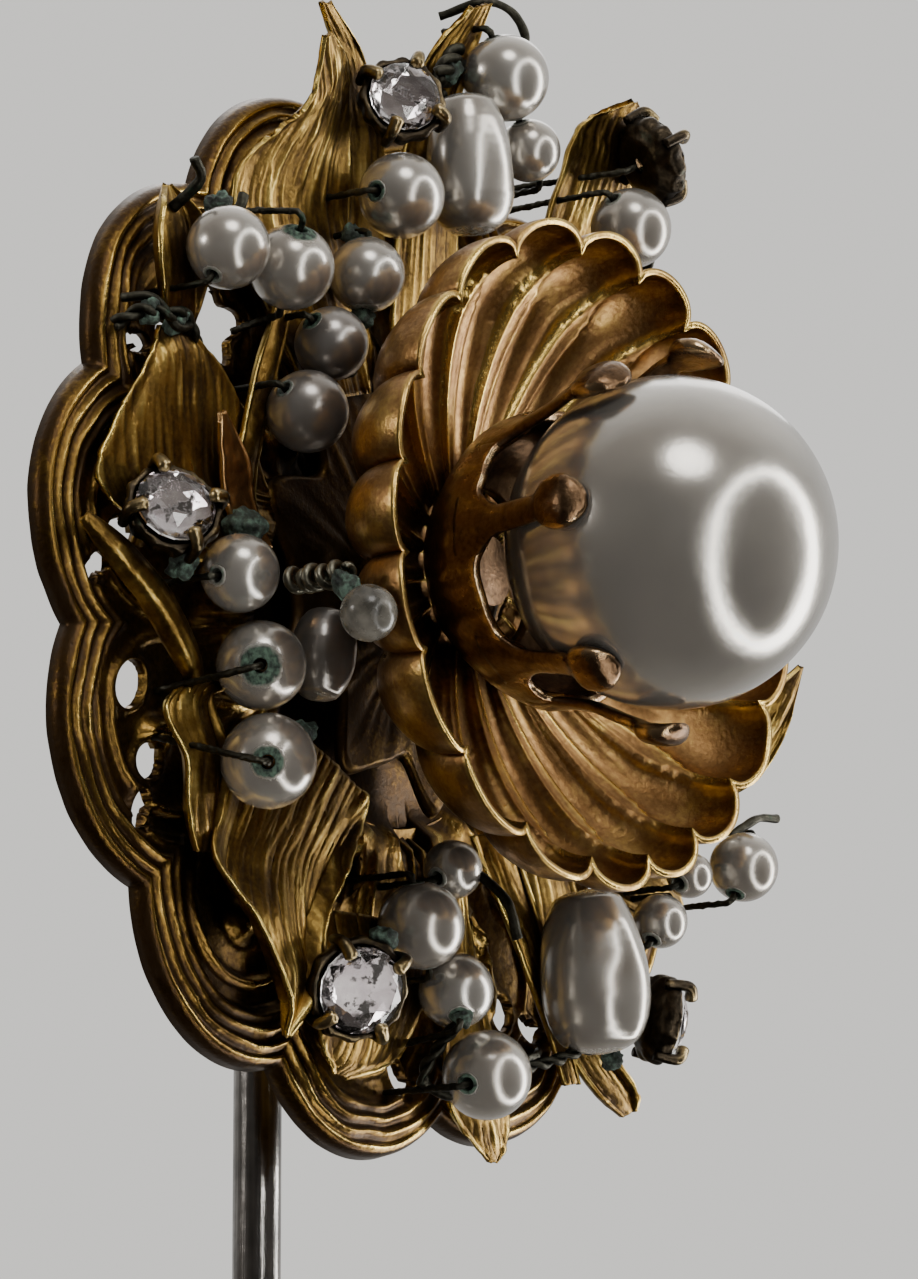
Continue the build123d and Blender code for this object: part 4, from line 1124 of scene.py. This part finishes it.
def glow(name, strength, rgb):
    """Even light from a surface."""
    material = bpy.data.materials.new(name)
    material.use_nodes = True
    tree = material.node_tree
    tree.nodes.clear()
    light = add(tree, "Emission", {"Color": colour(rgb), "Strength": strength})
    tree.links.new(light.outputs[0], add(tree, "OutputMaterial").inputs[0])
    return material


def stage_mesh(name, points, faces, material):
    """A piece of the studio, not of the object."""
    made = mesh_object(name, [tuple(point) for point in points], faces, material)
    return made


FLOOR_Z = cad_box[0].z - 0.0005
FLOOR_HALF = 3.0
corners = [(FLOOR_HALF * x, FLOOR_HALF * y, FLOOR_Z) for x, y in ((-1, -1), (1, -1), (1, 1), (-1, 1))]
floor = stage_mesh("floor", corners, [(0, 1, 2, 3)], plain("floor_paper", (0.80, 0.79, 0.78)))
floor.visible_glossy = False


def direction_at(right_deg, up_deg):
    """Unit vector this far to the right of and above the way from the head to the camera."""
    right, up = radians(right_deg), radians(up_deg)
    flat = -VIEW * cos(right) + VIEW_RIGHT * sin(right)
    return (flat * cos(up) + VIEW_UP * sin(up)).normalized()


def mirrored(right, up):
    """Where light comes from that a pearl shows this far right and up of its centre, in radii."""
    facing = sqrt(1 - right * right - up * up)
    normal = VIEW_RIGHT * right + VIEW_UP * up - VIEW * facing
    return normal * 2 * facing + VIEW


# The ring of light as the big pearl shows it: middle and half sizes, in radii of the pearl.
RING_RIGHT, RING_UP, RING_WIDE, RING_HIGH = 0.525, -0.09, 0.295, 0.495
RING_DISTANCE, RING_SIDES, RING_STRENGTH = 0.6, 96, 12.0


def ring_light():
    """Soft oval ring of light to the camera's right, dark in the middle, as the pearls reflect it."""
    points = []
    for k in range(RING_SIDES):
        turn = tau * k / RING_SIDES
        band = 0.026 + 0.010 * cos(turn + 0.9)
        for grow in (-band, band):
            away = mirrored(RING_RIGHT + (RING_WIDE + grow) * cos(turn),
                            RING_UP + (RING_HIGH + grow) * sin(turn))
            points.append(head_centre + away * RING_DISTANCE)
    faces = grid(RING_SIDES, 2, wrap_rows=True)[:, [0, 3, 2, 1]].tolist()
    made = stage_mesh("ring_softbox", points, faces, glow("ring_glow", RING_STRENGTH, (1.0, 0.985, 0.955)))
    made.visible_camera = False
    made.visible_shadow = False


def area_light(name, right_deg, up_deg, distance, size, power, rgb=(1, 1, 1)):
    """Round soft light that faces the head."""
    light = bpy.data.lights.new(name, "AREA")
    light.shape, light.size, light.energy, light.color = "DISK", size, power, rgb
    made = linked(name, light)
    away = direction_at(right_deg, up_deg)
    made.location = head_centre + away * distance
    made.rotation_mode = "QUATERNION"
    made.rotation_quaternion = away.to_track_quat("Z", "Y")


ring_light()
area_light("top_light", 20, 58, 0.7, 0.30, 1.5, (1.0, 0.98, 0.95))
area_light("left_fill", -70, 18, 0.8, 0.12, 0.8, (1.0, 0.95, 0.90))
area_light("back_fill", 180, 25, 0.9, 0.6, 2.0)

world = bpy.data.worlds.new("studio")
bpy.context.scene.world = world
world.use_nodes = True
tree = world.node_tree
tree.nodes.clear()
to_camera = add(tree, "LightPath").outputs["Is Camera Ray"]
seen = add(tree, "Background", {"Color": colour((0.90, 0.885, 0.85)), "Strength": 1.0})
direction = add(tree, "TexCoord").outputs["Generated"]
behind = add(tree, "VectorMath", {0: direction, 1: VIEW}, operation="DOT_PRODUCT").outputs["Value"]
upward = add(tree, "SeparateXYZ", {0: direction}).outputs["Z"]
backdrop = ramp(tree, spread(tree, behind, -1.0, 1.0, 0.0, 1.0), (0.0, (0.085, 0.078, 0.07)),
                (0.45, (0.12, 0.11, 0.10)), (0.68, (0.36, 0.35, 0.335)), (0.9, (0.66, 0.65, 0.63)))
above = ramp(tree, spread(tree, upward, -1.0, 1.0, 0.0, 1.0), (0.1, (0.45, 0.43, 0.41)),
             (0.5, (0.85, 0.85, 0.85)), (0.72, (1.1, 1.1, 1.1)), (0.95, (2.6, 2.6, 2.6)))
ambient = add(tree, "VectorMath", {0: backdrop, 1: above}, operation="MULTIPLY").outputs["Vector"]
lit = add(tree, "Background", {"Color": ambient, "Strength": 1.0})
both = add(tree, "MixShader", {0: to_camera, 1: lit.outputs[0], 2: seen.outputs[0]})
tree.links.new(both.outputs[0], add(tree, "OutputWorld").inputs[0])

camera_data = bpy.data.cameras.new("camera")
camera_data.lens, camera_data.sensor_width = 168.3, 36.0
camera_data.clip_start, camera_data.clip_end = 0.01, 20.0
camera = linked("camera", camera_data)
camera.location = head_centre + Vector((-0.172088, -0.131566, -0.042829))
camera.rotation_mode = "QUATERNION"
camera.rotation_quaternion = VIEW.to_track_quat("-Z", "Y")
bpy.context.scene.camera = camera
